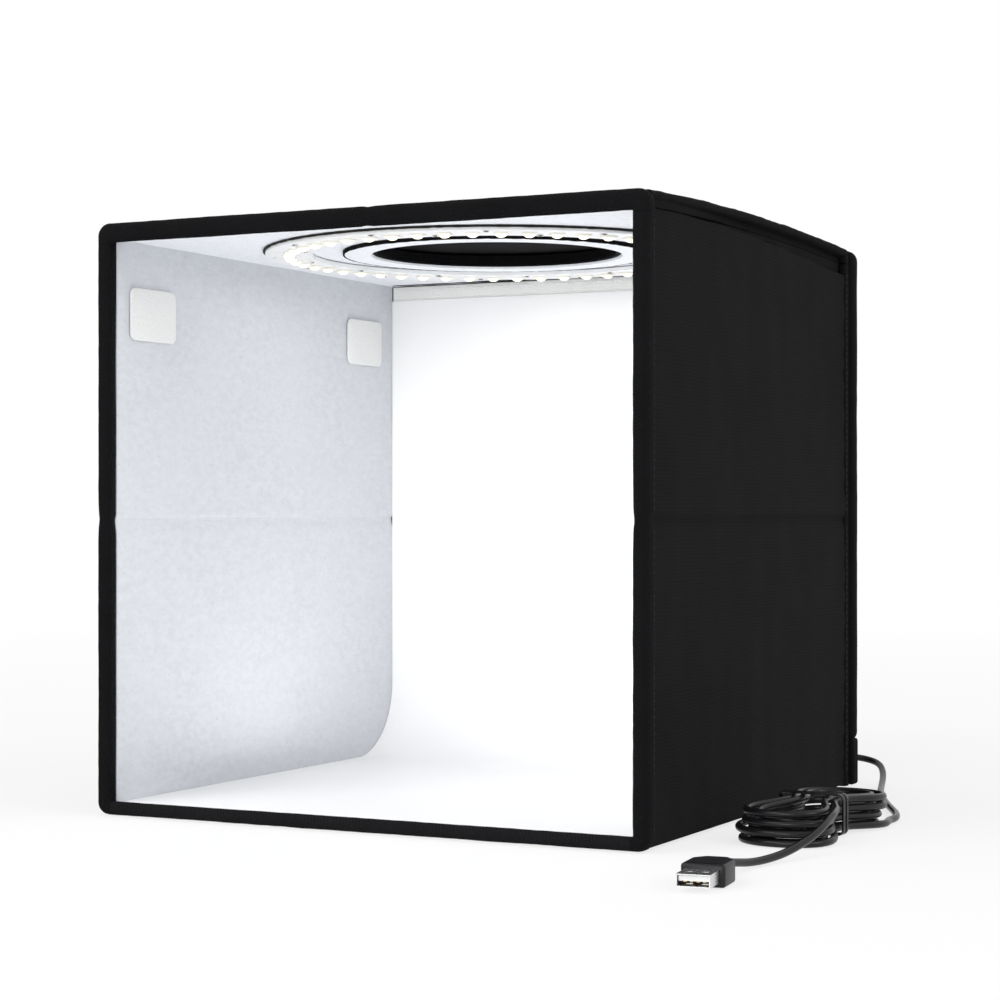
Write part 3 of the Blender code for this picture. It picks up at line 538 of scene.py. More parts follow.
def link(thing: bpy.types.Object) -> None:
    """Put an object in the scene."""
    bpy.context.scene.collection.objects.link(thing)


def block(low: Sequence[float], high: Sequence[float]) -> Shape:
    """A box between two corners.

    Args:
        low: the lowest corner.
        high: the highest corner.

    Returns:
        The bmesh.
    """
    shape = bmesh.new()
    low, high = Vector(low), Vector(high)
    size = Matrix.Diagonal((*(high - low), 1.0))
    bmesh.ops.create_cube(shape, size=1.0, matrix=Matrix.Translation((low + high) / 2) @ size)
    return shape


def edges_along(shape: Shape, axis: Axis, keep: Callable[[Vector], bool] | None = None) -> list:
    """Edges that run along one axis.

    Args:
        shape: the bmesh.
        axis: the axis.
        keep: a test of an edge's middle, or none to keep all.

    Returns:
        The edges.
    """
    found = []
    for edge in shape.edges:
        way = edge.verts[1].co - edge.verts[0].co
        middle = (edge.verts[0].co + edge.verts[1].co) / 2
        if abs(way[axis.value]) > 0.999 * way.length and (keep is None or keep(middle)):
            found.append(edge)
    return found


def soften(shape: Shape, edges: list, radius: float, steps: int = 3) -> None:
    """Round some edges of a bmesh."""
    bmesh.ops.bevel(
        shape,
        geom=edges,
        offset=radius,
        segments=steps,
        profile=0.5,
        affect="EDGES",
        material=-1,
        clamp_overlap=True,
    )


def sharp_edges(shape: Shape, least: float = 0.9) -> list:
    """Edges whose faces meet at more than an angle in radians."""
    return [edge for edge in shape.edges if len(edge.link_faces) == 2 and edge.calc_face_angle() > least]


def ruffle(shape: Shape, height: float, scale: float) -> None:
    """Push the surface in and out a little along its normals.

    Args:
        shape: the bmesh.
        height: the most that a point moves.
        scale: waves per metre.
    """
    shape.normal_update()
    moves = [vert.normal * height * noise.noise(vert.co * scale) for vert in shape.verts]
    for vert, move in zip(shape.verts, moves):
        vert.co += move


def cloth(spans: tuple[Span, Span], cells: tuple[int, int], place: Place, depth: Vector) -> Shape:
    """A thin closed sheet, shaped point by point.

    Args:
        spans: the two spans that its grid fills.
        cells: how many faces each span has.
        place: where a point of the two spans lies.
        depth: how far and which way its second side lies.

    Returns:
        The bmesh.
    """
    shape = open_cloth(spans, cells, place)
    thicken(shape, depth)
    return shape


def open_cloth(spans: tuple[Span, Span], cells: tuple[int, int], place: Place) -> Shape:
    """A grid of one side only, shaped point by point."""
    shape = bmesh.new()
    bmesh.ops.create_grid(shape, x_segments=cells[0], y_segments=cells[1], size=0.5)
    for vert in shape.verts:
        vert.co = place(between(spans[0], vert.co.x + 0.5), between(spans[1], vert.co.y + 0.5))
    return shape


def thicken(shape: Shape, depth: Vector) -> None:
    """Give an open sheet a second side and closed edges."""
    grown = bmesh.ops.extrude_face_region(shape, geom=shape.faces[:], use_keep_orig=True)["geom"]
    bmesh.ops.translate(shape, verts=verts_of(grown), vec=depth)


def lathe(profile: Sequence[Span], steps: int = 128, closed: bool = True) -> Shape:
    """A profile of radius and height, spun round the Z axis.

    Args:
        profile: the profile's corners in order.
        steps: how many steps a turn has.
        closed: whether the profile is closed, or else starts and ends on the axis.

    Returns:
        The bmesh.
    """
    shape = bmesh.new()
    corners = [shape.verts.new((radius, 0.0, high)) for radius, high in profile]
    following = corners[1:] + corners[:1] if closed else corners[1:]
    edges = [shape.edges.new(pair) for pair in zip(corners, following)]
    bmesh.ops.spin(
        shape,
        geom=[*corners, *edges],
        cent=(0, 0, 0),
        axis=(0, 0, 1),
        angle=math.tau,
        steps=steps,
        use_merge=True,
    )
    if not closed:
        bmesh.ops.remove_doubles(shape, verts=shape.verts[:], dist=1e-6)
    return shape


def sweep(lines: Sequence[Sequence[Vector]]) -> Shape:
    """Join closed lines of as many points each, every one extruded from the one before.

    Args:
        lines: the lines in order; where the last equals the first the shape is closed.

    Returns:
        The bmesh.
    """
    shape = bmesh.new()
    place = shape.verts.layers.int.new("place")
    corners = [shape.verts.new(point) for point in lines[0]]
    for i, corner in enumerate(corners):
        corner[place] = i
    edges = [shape.edges.new(pair) for pair in zip(corners, corners[1:] + corners[:1])]
    for line in lines[1:]:
        grown = bmesh.ops.extrude_edge_only(shape, edges=edges)["geom"]
        fresh = set(verts_of(grown))
        for vert in fresh:
            vert.co = line[vert[place]]
        edges = [edge for edge in edges_of(grown) if fresh.issuperset(edge.verts)]
    shape.verts.layers.int.remove(place)
    bmesh.ops.remove_doubles(shape, verts=shape.verts[:], dist=1e-6)
    return shape


def rounded_rectangle(low: Span, high: Span, radius: float, arc: int = 6, side: int = 120) -> list[Vector]:
    """A rectangle's outline with round corners, as flat points.

    Args:
        low: its lowest corner.
        high: its highest corner.
        radius: its corners' radius.
        arc: steps of each corner.
        side: steps of each straight side.

    Returns:
        The points, as many for every size.
    """
    (left, bottom), (right, top) = low, high
    centres = ((right, bottom, 1, -1), (right, top, 1, 1), (left, top, -1, 1), (left, bottom, -1, -1))
    turns = []
    for i, (x, y, across, up) in enumerate(centres):
        middle = Vector((x - across * radius, y - up * radius))
        angles = [math.pi / 2 * (i - 1 + step / arc) for step in range(arc + 1)]
        turns.append([middle + Vector((math.cos(angle), math.sin(angle))) * radius for angle in angles])
    points = []
    for turn, following in zip(turns, turns[1:] + turns[:1]):
        points += turn
        points += [turn[-1].lerp(following[0], step / side) for step in range(1, side)]
    return points


def cut(shape: Shape, at: Sequence[float], away: Sequence[float]) -> None:
    """Cut a closed shape with a plane and close the cut.

    Args:
        shape: the bmesh.
        at: a point of the plane.
        away: the way to the part that is dropped.
    """
    parts = [*shape.verts, *shape.edges, *shape.faces]
    done = bmesh.ops.bisect_plane(shape, geom=parts, plane_co=at, plane_no=away, clear_outer=True)
    rim = edges_of(done["geom_cut"])
    if rim:
        bmesh.ops.edgeloop_fill(shape, edges=rim)


def ring_profile(radii: Span, heights: Span, clip: float) -> list[Span]:
    """A rectangle of radius and height with clipped corners.

    Args:
        radii: its least and greatest radius.
        heights: its lowest and highest height.
        clip: how far each corner is cut back.

    Returns:
        The profile's corners in order.
    """
    (inner, outer), (low, high) = radii, heights
    return [
        (inner + clip, low),
        (outer - clip, low),
        (outer, low + clip),
        (outer, high - clip),
        (outer - clip, high),
        (inner + clip, high),
        (inner, high - clip),
        (inner, low + clip),
    ]


@dataclass(frozen=True)
class Stitches:
    """A run of machine stitches, each a small spindle of thread."""

    pitch: float = 0.0030
    reach: float = 0.0022
    thick: float = 0.00034

    def run(self, shape: Shape, points: Sequence[Vector]) -> None:
        """Lay stitches along a line of points.

        Args:
            shape: the bmesh that they are added to.
            points: the line.
        """
        for start, end in zip(points, points[1:]):
            way = end - start
            count = max(1, round(way.length / self.pitch))
            turn = way.to_track_quat("X", "Z").to_matrix().to_4x4()
            size = Matrix.Diagonal((self.reach / 2, self.thick, self.thick, 1.0))
            for i in range(count):
                middle = start + way * ((i + 0.5) / count)
                matrix = Matrix.Translation(middle) @ turn @ size
                bmesh.ops.create_icosphere(shape, subdivisions=1, radius=1.0, matrix=matrix)


class Workshop:
    """Turns finished bmeshes into named pieces and reports them."""

    def __init__(self, frame: dict) -> None:
        """Keep the loaded frame."""
        self.frame = frame
        self.made: dict[str, bpy.types.Material] = {}

    def material(self, finish: Finish) -> bpy.types.Material:
        """A finish's material, made once."""
        if finish.name not in self.made:
            self.made[finish.name] = finish.make()
        return self.made[finish.name]

    def piece(
        self,
        name: str,
        shape: Shape,
        finish: Finish,
        body: str | Hinge,
        replaces: Sequence[str] = (),
        sharp: float = 0.7,
    ) -> bpy.types.Object:
        """Make a named piece from a bmesh.

        Args:
            name: the piece's name.
            shape: the bmesh, which is used up.
            finish: the piece's finish.
            body: the body it rides on, or a hinge, in which case the piece is only baked in place and bound
                to no body.
            replaces: the solids that it stands for.
            sharp: the angle in radians past which an edge stays crisp.

        Returns:
            The object.
        """
        bmesh.ops.recalc_face_normals(shape, faces=shape.faces[:])
        mesh = bpy.data.meshes.new(name)
        shape.to_mesh(mesh)
        shape.free()
        mesh.shade_smooth()
        mesh.set_sharp_from_angle(angle=sharp)
        thing = bpy.data.objects.new(name, mesh)
        link(thing)
        return self.settle(thing, finish, body, replaces)

    def settle(
        self,
        thing: bpy.types.Object,
        finish: Finish,
        body: str | Hinge,
        replaces: Sequence[str],
    ) -> bpy.types.Object:
        """Dress an object and tie it to its body, or bake it in place when it crosses a hinge.

        Args:
            thing: the object.
            finish: its finish.
            body: the body it rides on, or a hinge, in which case the object is only baked in place and bound
                to no body.
            replaces: the solids that it stands for.

        Returns:
            The same object.
        """
        thing.data.materials.append(self.material(finish))
        if isinstance(body, Hinge):
            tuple(body.start)
            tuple(body.end)
            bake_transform(thing)
        else:
            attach(thing, body)
        if replaces:
            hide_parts(*replaces)
        LOG.info("%s on %s, finish %s", thing.name, body, finish.name)
        return thing

    def dress(self, node: str, finish: Finish) -> None:
        """Give a solid of the model, kept as it is, its finish."""
        thing = self.frame["nodes"][node]
        thing.data.materials.clear()
        thing.data.materials.append(self.material(finish))
        LOG.info("%s kept, finish %s", node, finish.name)


# The tent


def roof_bow(across: float, deep: float) -> float:
    """How far the roof's side edges bow up between the tent's front and its back."""
    most, calm, half, reach = 0.0028, 0.070, 0.125, 0.118
    middle = max(0.0, 1.0 - (deep / reach) ** 2)
    return most * middle * ease((abs(across) - calm) / (half - calm))


@dataclass
class SideWall:
    """One side wall: cover, lining, rear tape, seams and pads, in one cloth across its crease."""

    workshop: Workshop
    side: Side
    cells: tuple[int, int] = (84, 220)
    tuck: float = 0.0016
    cover_thick: float = 0.0006
    lining_thick: float = 0.0006
    bend_half: float = 0.0016
    recess_deep: float = 0.0027
    crease_below: float = 0.0034
    crease_above: float = 0.0011
    cover_dip: float = 0.0012
    cover_bulge: float = 0.0005
    lining_dip: float = 0.0008
    billow: float = 0.00055
    wrinkle: float = 0.00030
    lining_wrinkle: float = 0.00025
    pucker: float = 0.00022
    pucker_reach: float = 0.006
    top_slack: float = 0.0052
    bowed_from: float = 0.2
    half_wide: float = 0.125
    seam_front: float = -0.1182
    seam_rear: float = 0.1124
    pad_corner: float = 0.0032

    def __post_init__(self) -> None:
        """Read this wall's places from the solids."""
        word = self.side.word
        self.sign = self.side.value
        self.bodies = (f"{word}_lower", f"{word}_upper")
        self.low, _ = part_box(f"{word}_lower_cover")
        _, self.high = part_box(f"{word}_upper_cover")
        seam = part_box(f"{word}_lower_cover")[1].z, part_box(f"{word}_upper_cover")[0].z
        self.crease = sum(seam) / 2
        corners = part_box(f"{word}_upper_cover")
        self.outer = max(abs(corners[0].x), abs(corners[1].x))
        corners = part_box(f"{word}_upper_lining")
        self.inner = min(abs(corners[0].x), abs(corners[1].x))

    def hinge(self) -> Hinge:
        """The crease, as the bend of the cloth pieces that cross it."""
        across = self.sign * self.outer
        return Hinge(
            self.bodies[0],
            self.bodies[1],
            (across, 0.0, self.crease - self.bend_half),
            (across, 0.0, self.crease + self.bend_half),
        )

    def crease_dip(self, high: float, depth: float) -> float:
        """How deep the pressed crease is, narrow above its line and wide below it."""
        away = high - self.crease
        reach = self.crease_above if away > 0 else self.crease_below
        return depth * math.exp(-((away / reach) ** 2))

    def cover_point(self, deep: float, high: float) -> Vector:
        """Where the cover's outer face lies: puckered at its seams, bulged by its crease, slack at its top.

        Args:
            deep: the point's Y.
            high: its height on the flat cloth.

        Returns:
            The point in space.
        """
        to_seam = max(0.0, min(deep - self.seam_front, self.seam_rear - deep))
        near = math.exp(-to_seam / self.pucker_reach)
        phase = high * 520.0 + 2.0 * noise.noise(Vector((deep, 0, high)) * 40.0)
        wave = self.pucker * near * math.sin(phase)
        billow = self.billow * noise.noise(Vector((deep * 13.0, 3.7 * self.sign, high * 11.0)))
        wrinkle = self.wrinkle * noise.noise(Vector((deep * 60.0, 9.1, high * 34.0)))
        out = self.outer + wave + billow + wrinkle - self.crease_dip(high, self.cover_dip)
        out += self.cover_bulge * math.exp(-(((high - self.crease - 0.0045) / 0.003) ** 2))
        bow = roof_bow(self.half_wide, deep)
        slack = self.top_slack * ease((deep + 0.105) / 0.22)
        top = self.high.z + bow - slack
        lifted = high + bow * ease((high - self.bowed_from) / (self.high.z - self.bowed_from))
        out -= self.recess_deep * ease((lifted - top + 0.0002) / 0.0010)
        return Vector((self.sign * out, deep, lifted))

    def lining_point(self, deep: float, high: float) -> Vector:
        """Where the lining's inner face lies, with the seams it runs over."""
        wrinkle = self.lining_wrinkle * noise.noise(Vector((deep * 30.0, 1.3 * self.sign, high * 26.0)))
        inward = self.inner - wrinkle + self.crease_dip(high, self.lining_dip)
        return Vector((self.sign * inward, deep, high))

    def build(self) -> None:
        """Build every piece of the wall."""
        word = self.side.word
        covers, linings, tapes = (
            [f"{body}_{kind}" for body in self.bodies] for kind in ("cover", "lining", "rear_tape")
        )
        deep = (self.low.y - self.tuck, self.high.y + self.tuck)
        high = (self.low.z - 0.0015, self.high.z)
        depth = Vector((-self.sign * self.cover_thick, 0.0, 0.0))
        shape = cloth((deep, high), self.cells, self.cover_point, depth)
        self.workshop.piece(f"{word}_cover", shape, SIDE_CLOTH, self.hinge(), covers)
        deep = (self.low.y - self.tuck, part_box(tapes[1])[1].y + 0.0002)
        high = (self.low.z - 0.0010, self.high.z + 0.0004)
        depth = Vector((self.sign * self.lining_thick, 0.0, 0.0))
        shape = cloth((deep, high), self.cells, self.lining_point, depth)
        self.workshop.piece(f"{word}_lining", shape, LINING, self.hinge(), linings)
        self.build_rear_tape(tapes)
        self.build_seams()
        for end in ("front", "rear"):
            self.build_pad(end)

    def roll_pinch(self, shape: Shape, centre: Vector, share: float) -> None:
        """Draw a roll in where the crease crosses it.

        Args:
            shape: the roll.
            centre: a point of its middle line.
            share: how much of the way to that line its points move.
        """
        for vert in shape.verts:
            away = vert.co.z - self.crease
            near = math.exp(-((away / 0.0022) ** 2)) * share
            wide = math.exp(-((away / 0.0075) ** 2)) * share * 0.6
            pull = min(1.0, near + wide)
            vert.co.x += (centre.x - vert.co.x) * pull
            vert.co.y += (centre.y - vert.co.y) * pull

    def build_rear_tape(self, nodes: Sequence[str]) -> None:
        """The flat tape down the rear edge, under the lining's last strip.

        Args:
            nodes: the lower and the upper tape that it stands for.
        """
        low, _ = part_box(nodes[0])
        _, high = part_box(nodes[1])
        low, high = Vector(low), Vector(high)
        if self.sign > 0:
            low.x = self.inner + 0.0008
        else:
            high.x = -self.inner - 0.0008
        shape = block(low, high)
        soften(shape, edges_along(shape, Axis.Z), 0.0014, 3)
        bmesh.ops.subdivide_edges(shape, edges=edges_along(shape, Axis.Z), cuts=60)
        ruffle(shape, 0.00010, 180.0)
        name = f"{self.side.word}_rear_binding"
        self.workshop.piece(name, shape, RISING_TAPE, self.hinge(), nodes, sharp=1.0)

    def build_seams(self) -> None:
        """Stitches along both tapes outside, and along the crease inside."""
        word = self.side.word
        shape = bmesh.new()
        stitches = Stitches()
        seams = ((self.low.y - 0.0013, self.outer + 0.0024), (self.high.y + 0.0015, self.outer + 0.0008))
        halves = ((self.low.z + 0.004, self.crease - 0.003), (self.crease + 0.003, self.high.z - 0.004))
        for deep, out in seams:
            for ends in halves:
                stitches.run(shape, [Vector((self.sign * out, deep, high)) for high in ends])
        self.workshop.piece(f"{word}_seam_thread", shape, BLACK_THREAD, self.hinge())
        shape = bmesh.new()
        line = []
        for share in np.linspace(0.0, 1.0, 30):
            deep = between((self.low.y + 0.002, self.high.y + 0.003), float(share))
            line.append(self.lining_point(deep, self.crease))
        Stitches(thick=0.00026).run(shape, line)
        self.workshop.piece(f"{word}_crease_thread", shape, WHITE_THREAD, self.hinge())

    def build_pad(self, end: str) -> None:
        """One hook-and-loop pad, with round corners and a soft edge.

        Args:
            end: the wall's end that it sits near, front or rear.
        """
        node = f"{self.side.word}_{end}_pad"
        low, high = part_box(node)
        shape = block(low, high)
        soften(shape, edges_along(shape, Axis.X), self.pad_corner, 6)
        soften(shape, sharp_edges(shape), 0.00035, 3)
        self.workshop.piece(f"{node}_pile", shape, PAD_PILE, self.bodies[1], [node])


@dataclass
class FrontFrame:
    """The padded binding round the open front: one ring, cut into the rolls of walls, roof and floor."""

    workshop: Workshop
    walls: Sequence[SideWall]
    ahead: float = 0.0008
    proud: float = 0.0018
    inner: float = 0.1199
    drop: float = 0.0018
    corner: float = 0.0052
    least_corner: float = 0.0004
    crest_share: float = 0.38
    outer_round: float = 0.0040
    inner_round: float = 0.0022
    tuck_share: float = 0.84
    gap: float = 0.0001
    stub: float = 0.0004
    pinch_share: float = 0.09
    fold_share: float = 0.10
    fold_across: float = 0.0045

    def __post_init__(self) -> None:
        """Read the ring's outlines from the solids."""
        roof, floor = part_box("top_front_tape"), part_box("bottom_front_tape")
        self.front, self.rear = roof[0].y - self.ahead, roof[1].y
        self.outside = (roof[1].x + self.proud, floor[0].z + 0.0001, roof[1].z + 0.0003)
        self.inside = (self.inner, floor[1].z, roof[0].z - self.drop)

    def loop(self, share: float, deep: float) -> list[Vector]:
        """The ring's outline at a share of its width and at a depth."""
        wide, low, high = (between(pair, share) for pair in zip(self.outside, self.inside))
        radius = max(self.corner * (1 - share), self.least_corner)
        outline = rounded_rectangle((-wide, low), (wide, high), radius)
        return [Vector((spot.x, deep, spot.y)) for spot in outline]

    def section(self) -> list[Span]:
        """The binding's section, with its crest nearer the outside.

        Returns:
            Its points in order, each a share of the binding's width and a depth.
        """
        crest = self.crest_share
        spots = [(0.80, self.rear), (0.12, self.rear), (0.03, self.rear - 0.0003), (0.0, self.rear - 0.0010)]
        for i in range(7):
            angle = math.pi / 2 * i / 6
            deep = self.front + self.outer_round * (1 - math.sin(angle))
            spots.append((crest * (1 - math.cos(angle)), deep))
        for i in range(1, 8):
            angle = math.pi / 2 * i / 7
            deep = self.front + self.inner_round * (1 - math.cos(angle))
            spots.append((crest + (1 - crest) * math.sin(angle), deep))
        tucked = self.tuck_share
        halfway = (self.front + self.inner_round + self.rear) / 2
        return [*spots, ((1 + tucked) / 2, halfway), (tucked, self.rear - 0.0004)]

    def build(self) -> None:
        """Build the ring and cut its four rolls from it."""
        spots = self.section()
        ring = sweep([self.loop(*spot) for spot in (*spots, spots[0])])
        bmesh.ops.recalc_face_normals(ring, faces=ring.faces[:])
        ruffle(ring, 0.00010, 210.0)
        ruffle(ring, 0.00014, 60.0)
        level = self.inside[2] - self.stub
        side = self.inner - self.stub
        shape = ring.copy()
        cut(shape, (0, 0, level), (0, 0, -1))
        self.fold_mark(shape)
        self.workshop.piece("roof_front_roll", shape, ACROSS_TAPE, "roof", ["top_front_tape"], sharp=1.0)
        shape = ring.copy()
        for sign in (-1, 1):
            cut(shape, (sign * (side - self.gap), 0, 0), (sign, 0, 0))
        cut(shape, (0, 0, level / 2), (0, 0, 1))
        # The floor roll is dressed in the lighter copy of the binding tape: painted light.
        self.workshop.piece("floor_front_roll", shape, FLOOR_TAPE_PAINTED_LIT, "base", ["bottom_front_tape"], sharp=1.0)
        for wall in self.walls:
            self.build_side(ring.copy(), wall, level, side)
        ring.free()

    def build_side(self, shape: Shape, wall: SideWall, level: float, side: float) -> None:
        """One wall's roll, pinched where the crease crosses it.

        Args:
            shape: a copy of the whole ring, which is used up.
            wall: the wall.
            level: the height where the roof's roll starts.
            side: how far from the middle the wall's roll starts.
        """
        cut(shape, (0, 0, level - self.gap), (0, 0, 1))
        cut(shape, (wall.sign * side, 0, 0), (-wall.sign, 0, 0))
        middle = Vector((wall.sign * (self.outside[0] + self.inner) / 2, (self.front + self.rear) / 2, 0.0))
        wall.roll_pinch(shape, middle, self.pinch_share)
        nodes = [f"{body}_front_tape" for body in wall.bodies]
        name = f"{wall.side.word}_front_roll"
        self.workshop.piece(name, shape, RISING_TAPE, wall.hinge(), nodes, sharp=1.0)

    def fold_mark(self, shape: Shape) -> None:
        """A pressed fold across the roof's roll, a little right of its middle."""
        centre = Vector((0.0, (self.front + self.rear) / 2, (self.outside[2] + self.inside[2]) / 2))
        for vert in shape.verts:
            pull = self.fold_share * math.exp(-(((vert.co.x - self.fold_across) / 0.0016) ** 2))
            vert.co.y += (centre.y - vert.co.y) * pull
            vert.co.z += (centre.z - vert.co.z) * pull


@dataclass
class RoofFrame:
    """The roof: cloth with its round hole, ceiling lining, edge rolls, binding, patch and flap."""

    workshop: Workshop
    loops: int = 128
    rings: int = 26
    lip: float = 0.0683
    lip_drop: float = 0.0018
    trim: float = 0.0004
    bead: float = 0.0017
    cloth_thick: float = 0.0006
    lining_thick: float = 0.0005
    tuck: float = 0.0014
    quilt: float = 0.0005
    ripple: float = 0.00018
    flap_hem: float = 0.00025
    flap_slack: float = 0.00035
    flap_inset: float = 0.0050

    def __post_init__(self) -> None:
        """Read the roof's places from the solids."""
        self.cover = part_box("top_cover")
        self.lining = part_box("top_lining")
        self.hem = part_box("hole_hem")
        self.hole = self.hem[1].x
        self.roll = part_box("top_right_roll")

    def holed_sheet(self, low: Vector, high: Vector, path: Sequence[Span], face: float) -> Shape:
        """An open sheet from the panel's edges to its round hole.

        Args:
            low: the panel's lowest corner.
            high: the panel's highest corner.
            path: radius and height of each loop from the flat part on, the last one at the hole.
            face: the flat part's height.

        Returns:
            The bmesh.
        """
        square = [Vector((high.x, low.y)), high.xy, Vector((low.x, high.y)), low.xy]
        edge = []
        for start, end in zip(square, square[1:] + square[:1]):
            edge += [start.lerp(end, i * 4 / self.loops) for i in range(self.loops // 4)]
        lines = []
        for i in range(self.rings + 1):
            share = i / self.rings
            reaches = [spot.length + (path[0][0] - spot.length) * share for spot in edge]
            lines.append([self.on_ray(spot, reach, face) for spot, reach in zip(edge, reaches)])
        for radius, height in path[1:]:
            lines.append([self.on_ray(spot, radius, height) for spot in edge])
        return sweep(lines)

    def on_ray(self, spot: Vector, reach: float, high: float) -> Vector:
        """The point at a reach from the middle, towards a spot on the edge."""
        flat = spot.normalized() * reach
        return Vector((flat.x, flat.y, high))

    def build(self) -> None:
        """Build every piece of the roof."""
        self.build_cover()
        self.build_ceiling()
        self.build_hem()
        self.build_rear()
        for side in Side:
            self.build_roll(side)
        self.build_patch()
        self.build_flap()
        self.build_threads()

    def build_cover(self) -> None:
        """The black roof cloth with a gentle quilt and its bowed side edges."""
        low, high = Vector(self.cover[0]), Vector(self.cover[1])
        low.xy -= Vector((self.tuck, self.tuck))
        high.xy += Vector((self.tuck, self.tuck))
        shape = self.holed_sheet(low, high, [(self.hole + 0.0004, high.z)], high.z)
        for vert in shape.verts:
            waves = self.quilt * noise.noise(Vector((vert.co.x * 14.0, vert.co.y * 14.0, 5.0)))
            calm = ease((vert.co.xy.length - self.hole) / 0.03)
            vert.co.z += roof_bow(vert.co.x, vert.co.y) * 0.9 + waves * calm * 0.8 - 0.0002 * calm
        thicken(shape, Vector((0.0, 0.0, -self.cloth_thick)))
        self.workshop.piece("roof_cover", shape, ROOF_CLOTH, "roof", ["top_cover"])

    def build_ceiling(self) -> None:
        """The lining under the roof, with a lip that hangs round the shooting hole."""
        low, high = Vector(self.lining[0]), Vector(self.lining[1])
        wide = abs(self.roll[0].x) + 0.0016
        low.x, high.x = -wide, wide
        low.y -= 0.0016
        high.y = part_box("top_rear_tape")[1].y
        face = self.lining[0].z
        foot, lip = face - self.lip_drop, self.lip
        path = [(lip + 0.0002, face), (lip - 0.0001, face - 0.0006), (lip - 0.0004, foot + 0.0002)]
        path += [(lip - 0.0008, foot), (0.0640, foot), (0.0600, foot), (self.hole + 0.0007, foot)]
        path += [(self.hole + 0.0003, foot + 0.0002), (self.hole + 0.0001, face - 0.0010)]
        path.append((self.hole, face - 0.0004))
        shape = self.holed_sheet(low, high, path, face)
        for vert in shape.verts:
            ripple = self.ripple * noise.noise(Vector((vert.co.x * 26.0, vert.co.y * 26.0, 1.0)))
            calm = ease((vert.co.xy.length - 0.112) / 0.01)
            vert.co.z += ripple * calm - 0.0003 * ease((abs(vert.co.x) - 0.117) / 0.002)
            vert.co.z -= 0.0002 * ease((vert.co.y - 0.113) / 0.003)
        thicken(shape, Vector((0.0, 0.0, self.lining_thick)))
        # The ceiling is dressed in the brighter copy of the lining: painted light.
        self.workshop.piece("ceiling_lining", shape, CEILING_PAINTED_LIGHT, "roof", ["top_lining"])

    def build_hem(self) -> None:
        """The bound edge of the shooting hole, and the dark trim round the ceiling's lip."""
        face = self.lining[0].z
        radii = (self.hole - 0.0024, self.hole + 0.0001)
        shape = lathe(ring_profile(radii, (face - 0.0007, self.hem[1].z + 0.0004), 0.0005), 96)
        self.workshop.piece("hole_binding", shape, ACROSS_TAPE, "roof", ["hole_hem"])
        radii = (self.lip - 0.0004, self.lip + self.trim)
        shape = lathe(ring_profile(radii, (face - self.lip_drop, face + 0.0004), 0.0002), 260)
        ruffle(shape, 0.00022, 330.0)
        self.workshop.piece("hole_trim", shape, ACROSS_TAPE, "roof")

    def build_rear(self) -> None:
        """The padded roll along the roof's rear edge."""
        low, high = (Vector(corner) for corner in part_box("top_rear_tape"))
        shape = block(low, high)
        soften(shape, edges_along(shape, Axis.Y, lambda at: at.z > 0.247), 0.0042, 5)
        rims = [edge for edge in sharp_edges(shape, 0.15) if self.is_rim(edge, low, high)]
        soften(shape, rims, 0.0020, 4)
        bmesh.ops.subdivide_edges(shape, edges=edges_along(shape, Axis.X), cuts=130)
        ruffle(shape, 0.00010, 200.0)
        ruffle(shape, 0.00012, 50.0)
        self.workshop.piece("roof_rear_roll", shape, ACROSS_TAPE, "roof", ["top_rear_tape"], sharp=1.0)

    def is_rim(self, edge: bmesh.types.BMEdge, low: Vector, high: Vector) -> bool:
        """Whether an edge lies on the roll's front or rear face outline, but not on its flat end."""
        near, far = (vert.co.y for vert in edge.verts)
        return abs(near - far) < 1e-6 and min(abs(near - low.y), abs(near - high.y)) < 1e-6

    def build_roll(self, side: Side) -> None:
        """One side edge of the roof: a slender bead over a web, bowed up between front and back.

        Args:
            side: the edge's side.
        """
        node = f"top_{side.word}_roll"
        low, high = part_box(node)
        outer = self.roll[1].x + 0.0008
        lines = []
        for deep in np.linspace(low.y - 0.0012, high.y + 0.0010, 116):
            recess = between((0.0013, 0.0046), ease((float(deep) + 0.108) / 0.11))
            lift = roof_bow(outer, float(deep))
            spots = self.bead_section(outer, recess, low.z, high.z + 0.0001)
            lines.append([Vector((side.value * x, deep, z + lift)) for x, z in spots])
        ends = [[sum(line, Vector()) / len(line)] * len(line) for line in (lines[0], lines[-1])]
        shape = sweep([ends[0], *lines, ends[1]])
        bmesh.ops.recalc_face_normals(shape, faces=shape.faces[:])
        ruffle(shape, 0.00016, 190.0)
        ruffle(shape, 0.00026, 60.0)
        self.workshop.piece(f"roof_{side.word}_roll", shape, DEPTH_TAPE, "roof", [node], sharp=1.0)

    def bead_section(self, outer: float, recess: float, low: float, high: float) -> list[Span]:
        """A bead along the top, a web below it, and a flat inner side.

        Args:
            outer: how far out the bead reaches.
            recess: how far the web lies behind that.
            low: the section's lowest height.
            high: its highest.

        Returns:
            The section's points in order.
        """
        bead, inner = self.bead, self.roll[0].x + 0.0018
        centre = (outer - bead, high - bead)
        spots = [(inner, low), (outer - recess - 0.0002, low), (outer - recess, low + 0.0003)]
        spots.append((outer - recess, high - 2 * bead - 0.0001))
        for i in range(9):
            angle = math.radians(-72 + 162 * i / 8)
            spots.append((centre[0] + bead * math.cos(angle), centre[1] + bead * math.sin(angle)))
        return [*spots, (inner + 0.0006, high), (inner, high - 0.0006)]

    def build_patch(self) -> None:
        """The hook patch that holds the flap's free edge."""
        low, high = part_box("flap_patch")
        shape = block(low, high)
        soften(shape, edges_along(shape, Axis.Z), 0.0012, 3)
        self.workshop.piece("flap_hook_patch", shape, HOOK_PATCH, "roof", ["flap_patch"])

    def build_flap(self) -> None:
        """The square flap over the hole, hemmed and a little slack."""
        low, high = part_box("hole_flap")
        spans = ((low.x, high.x), (low.y, high.y))

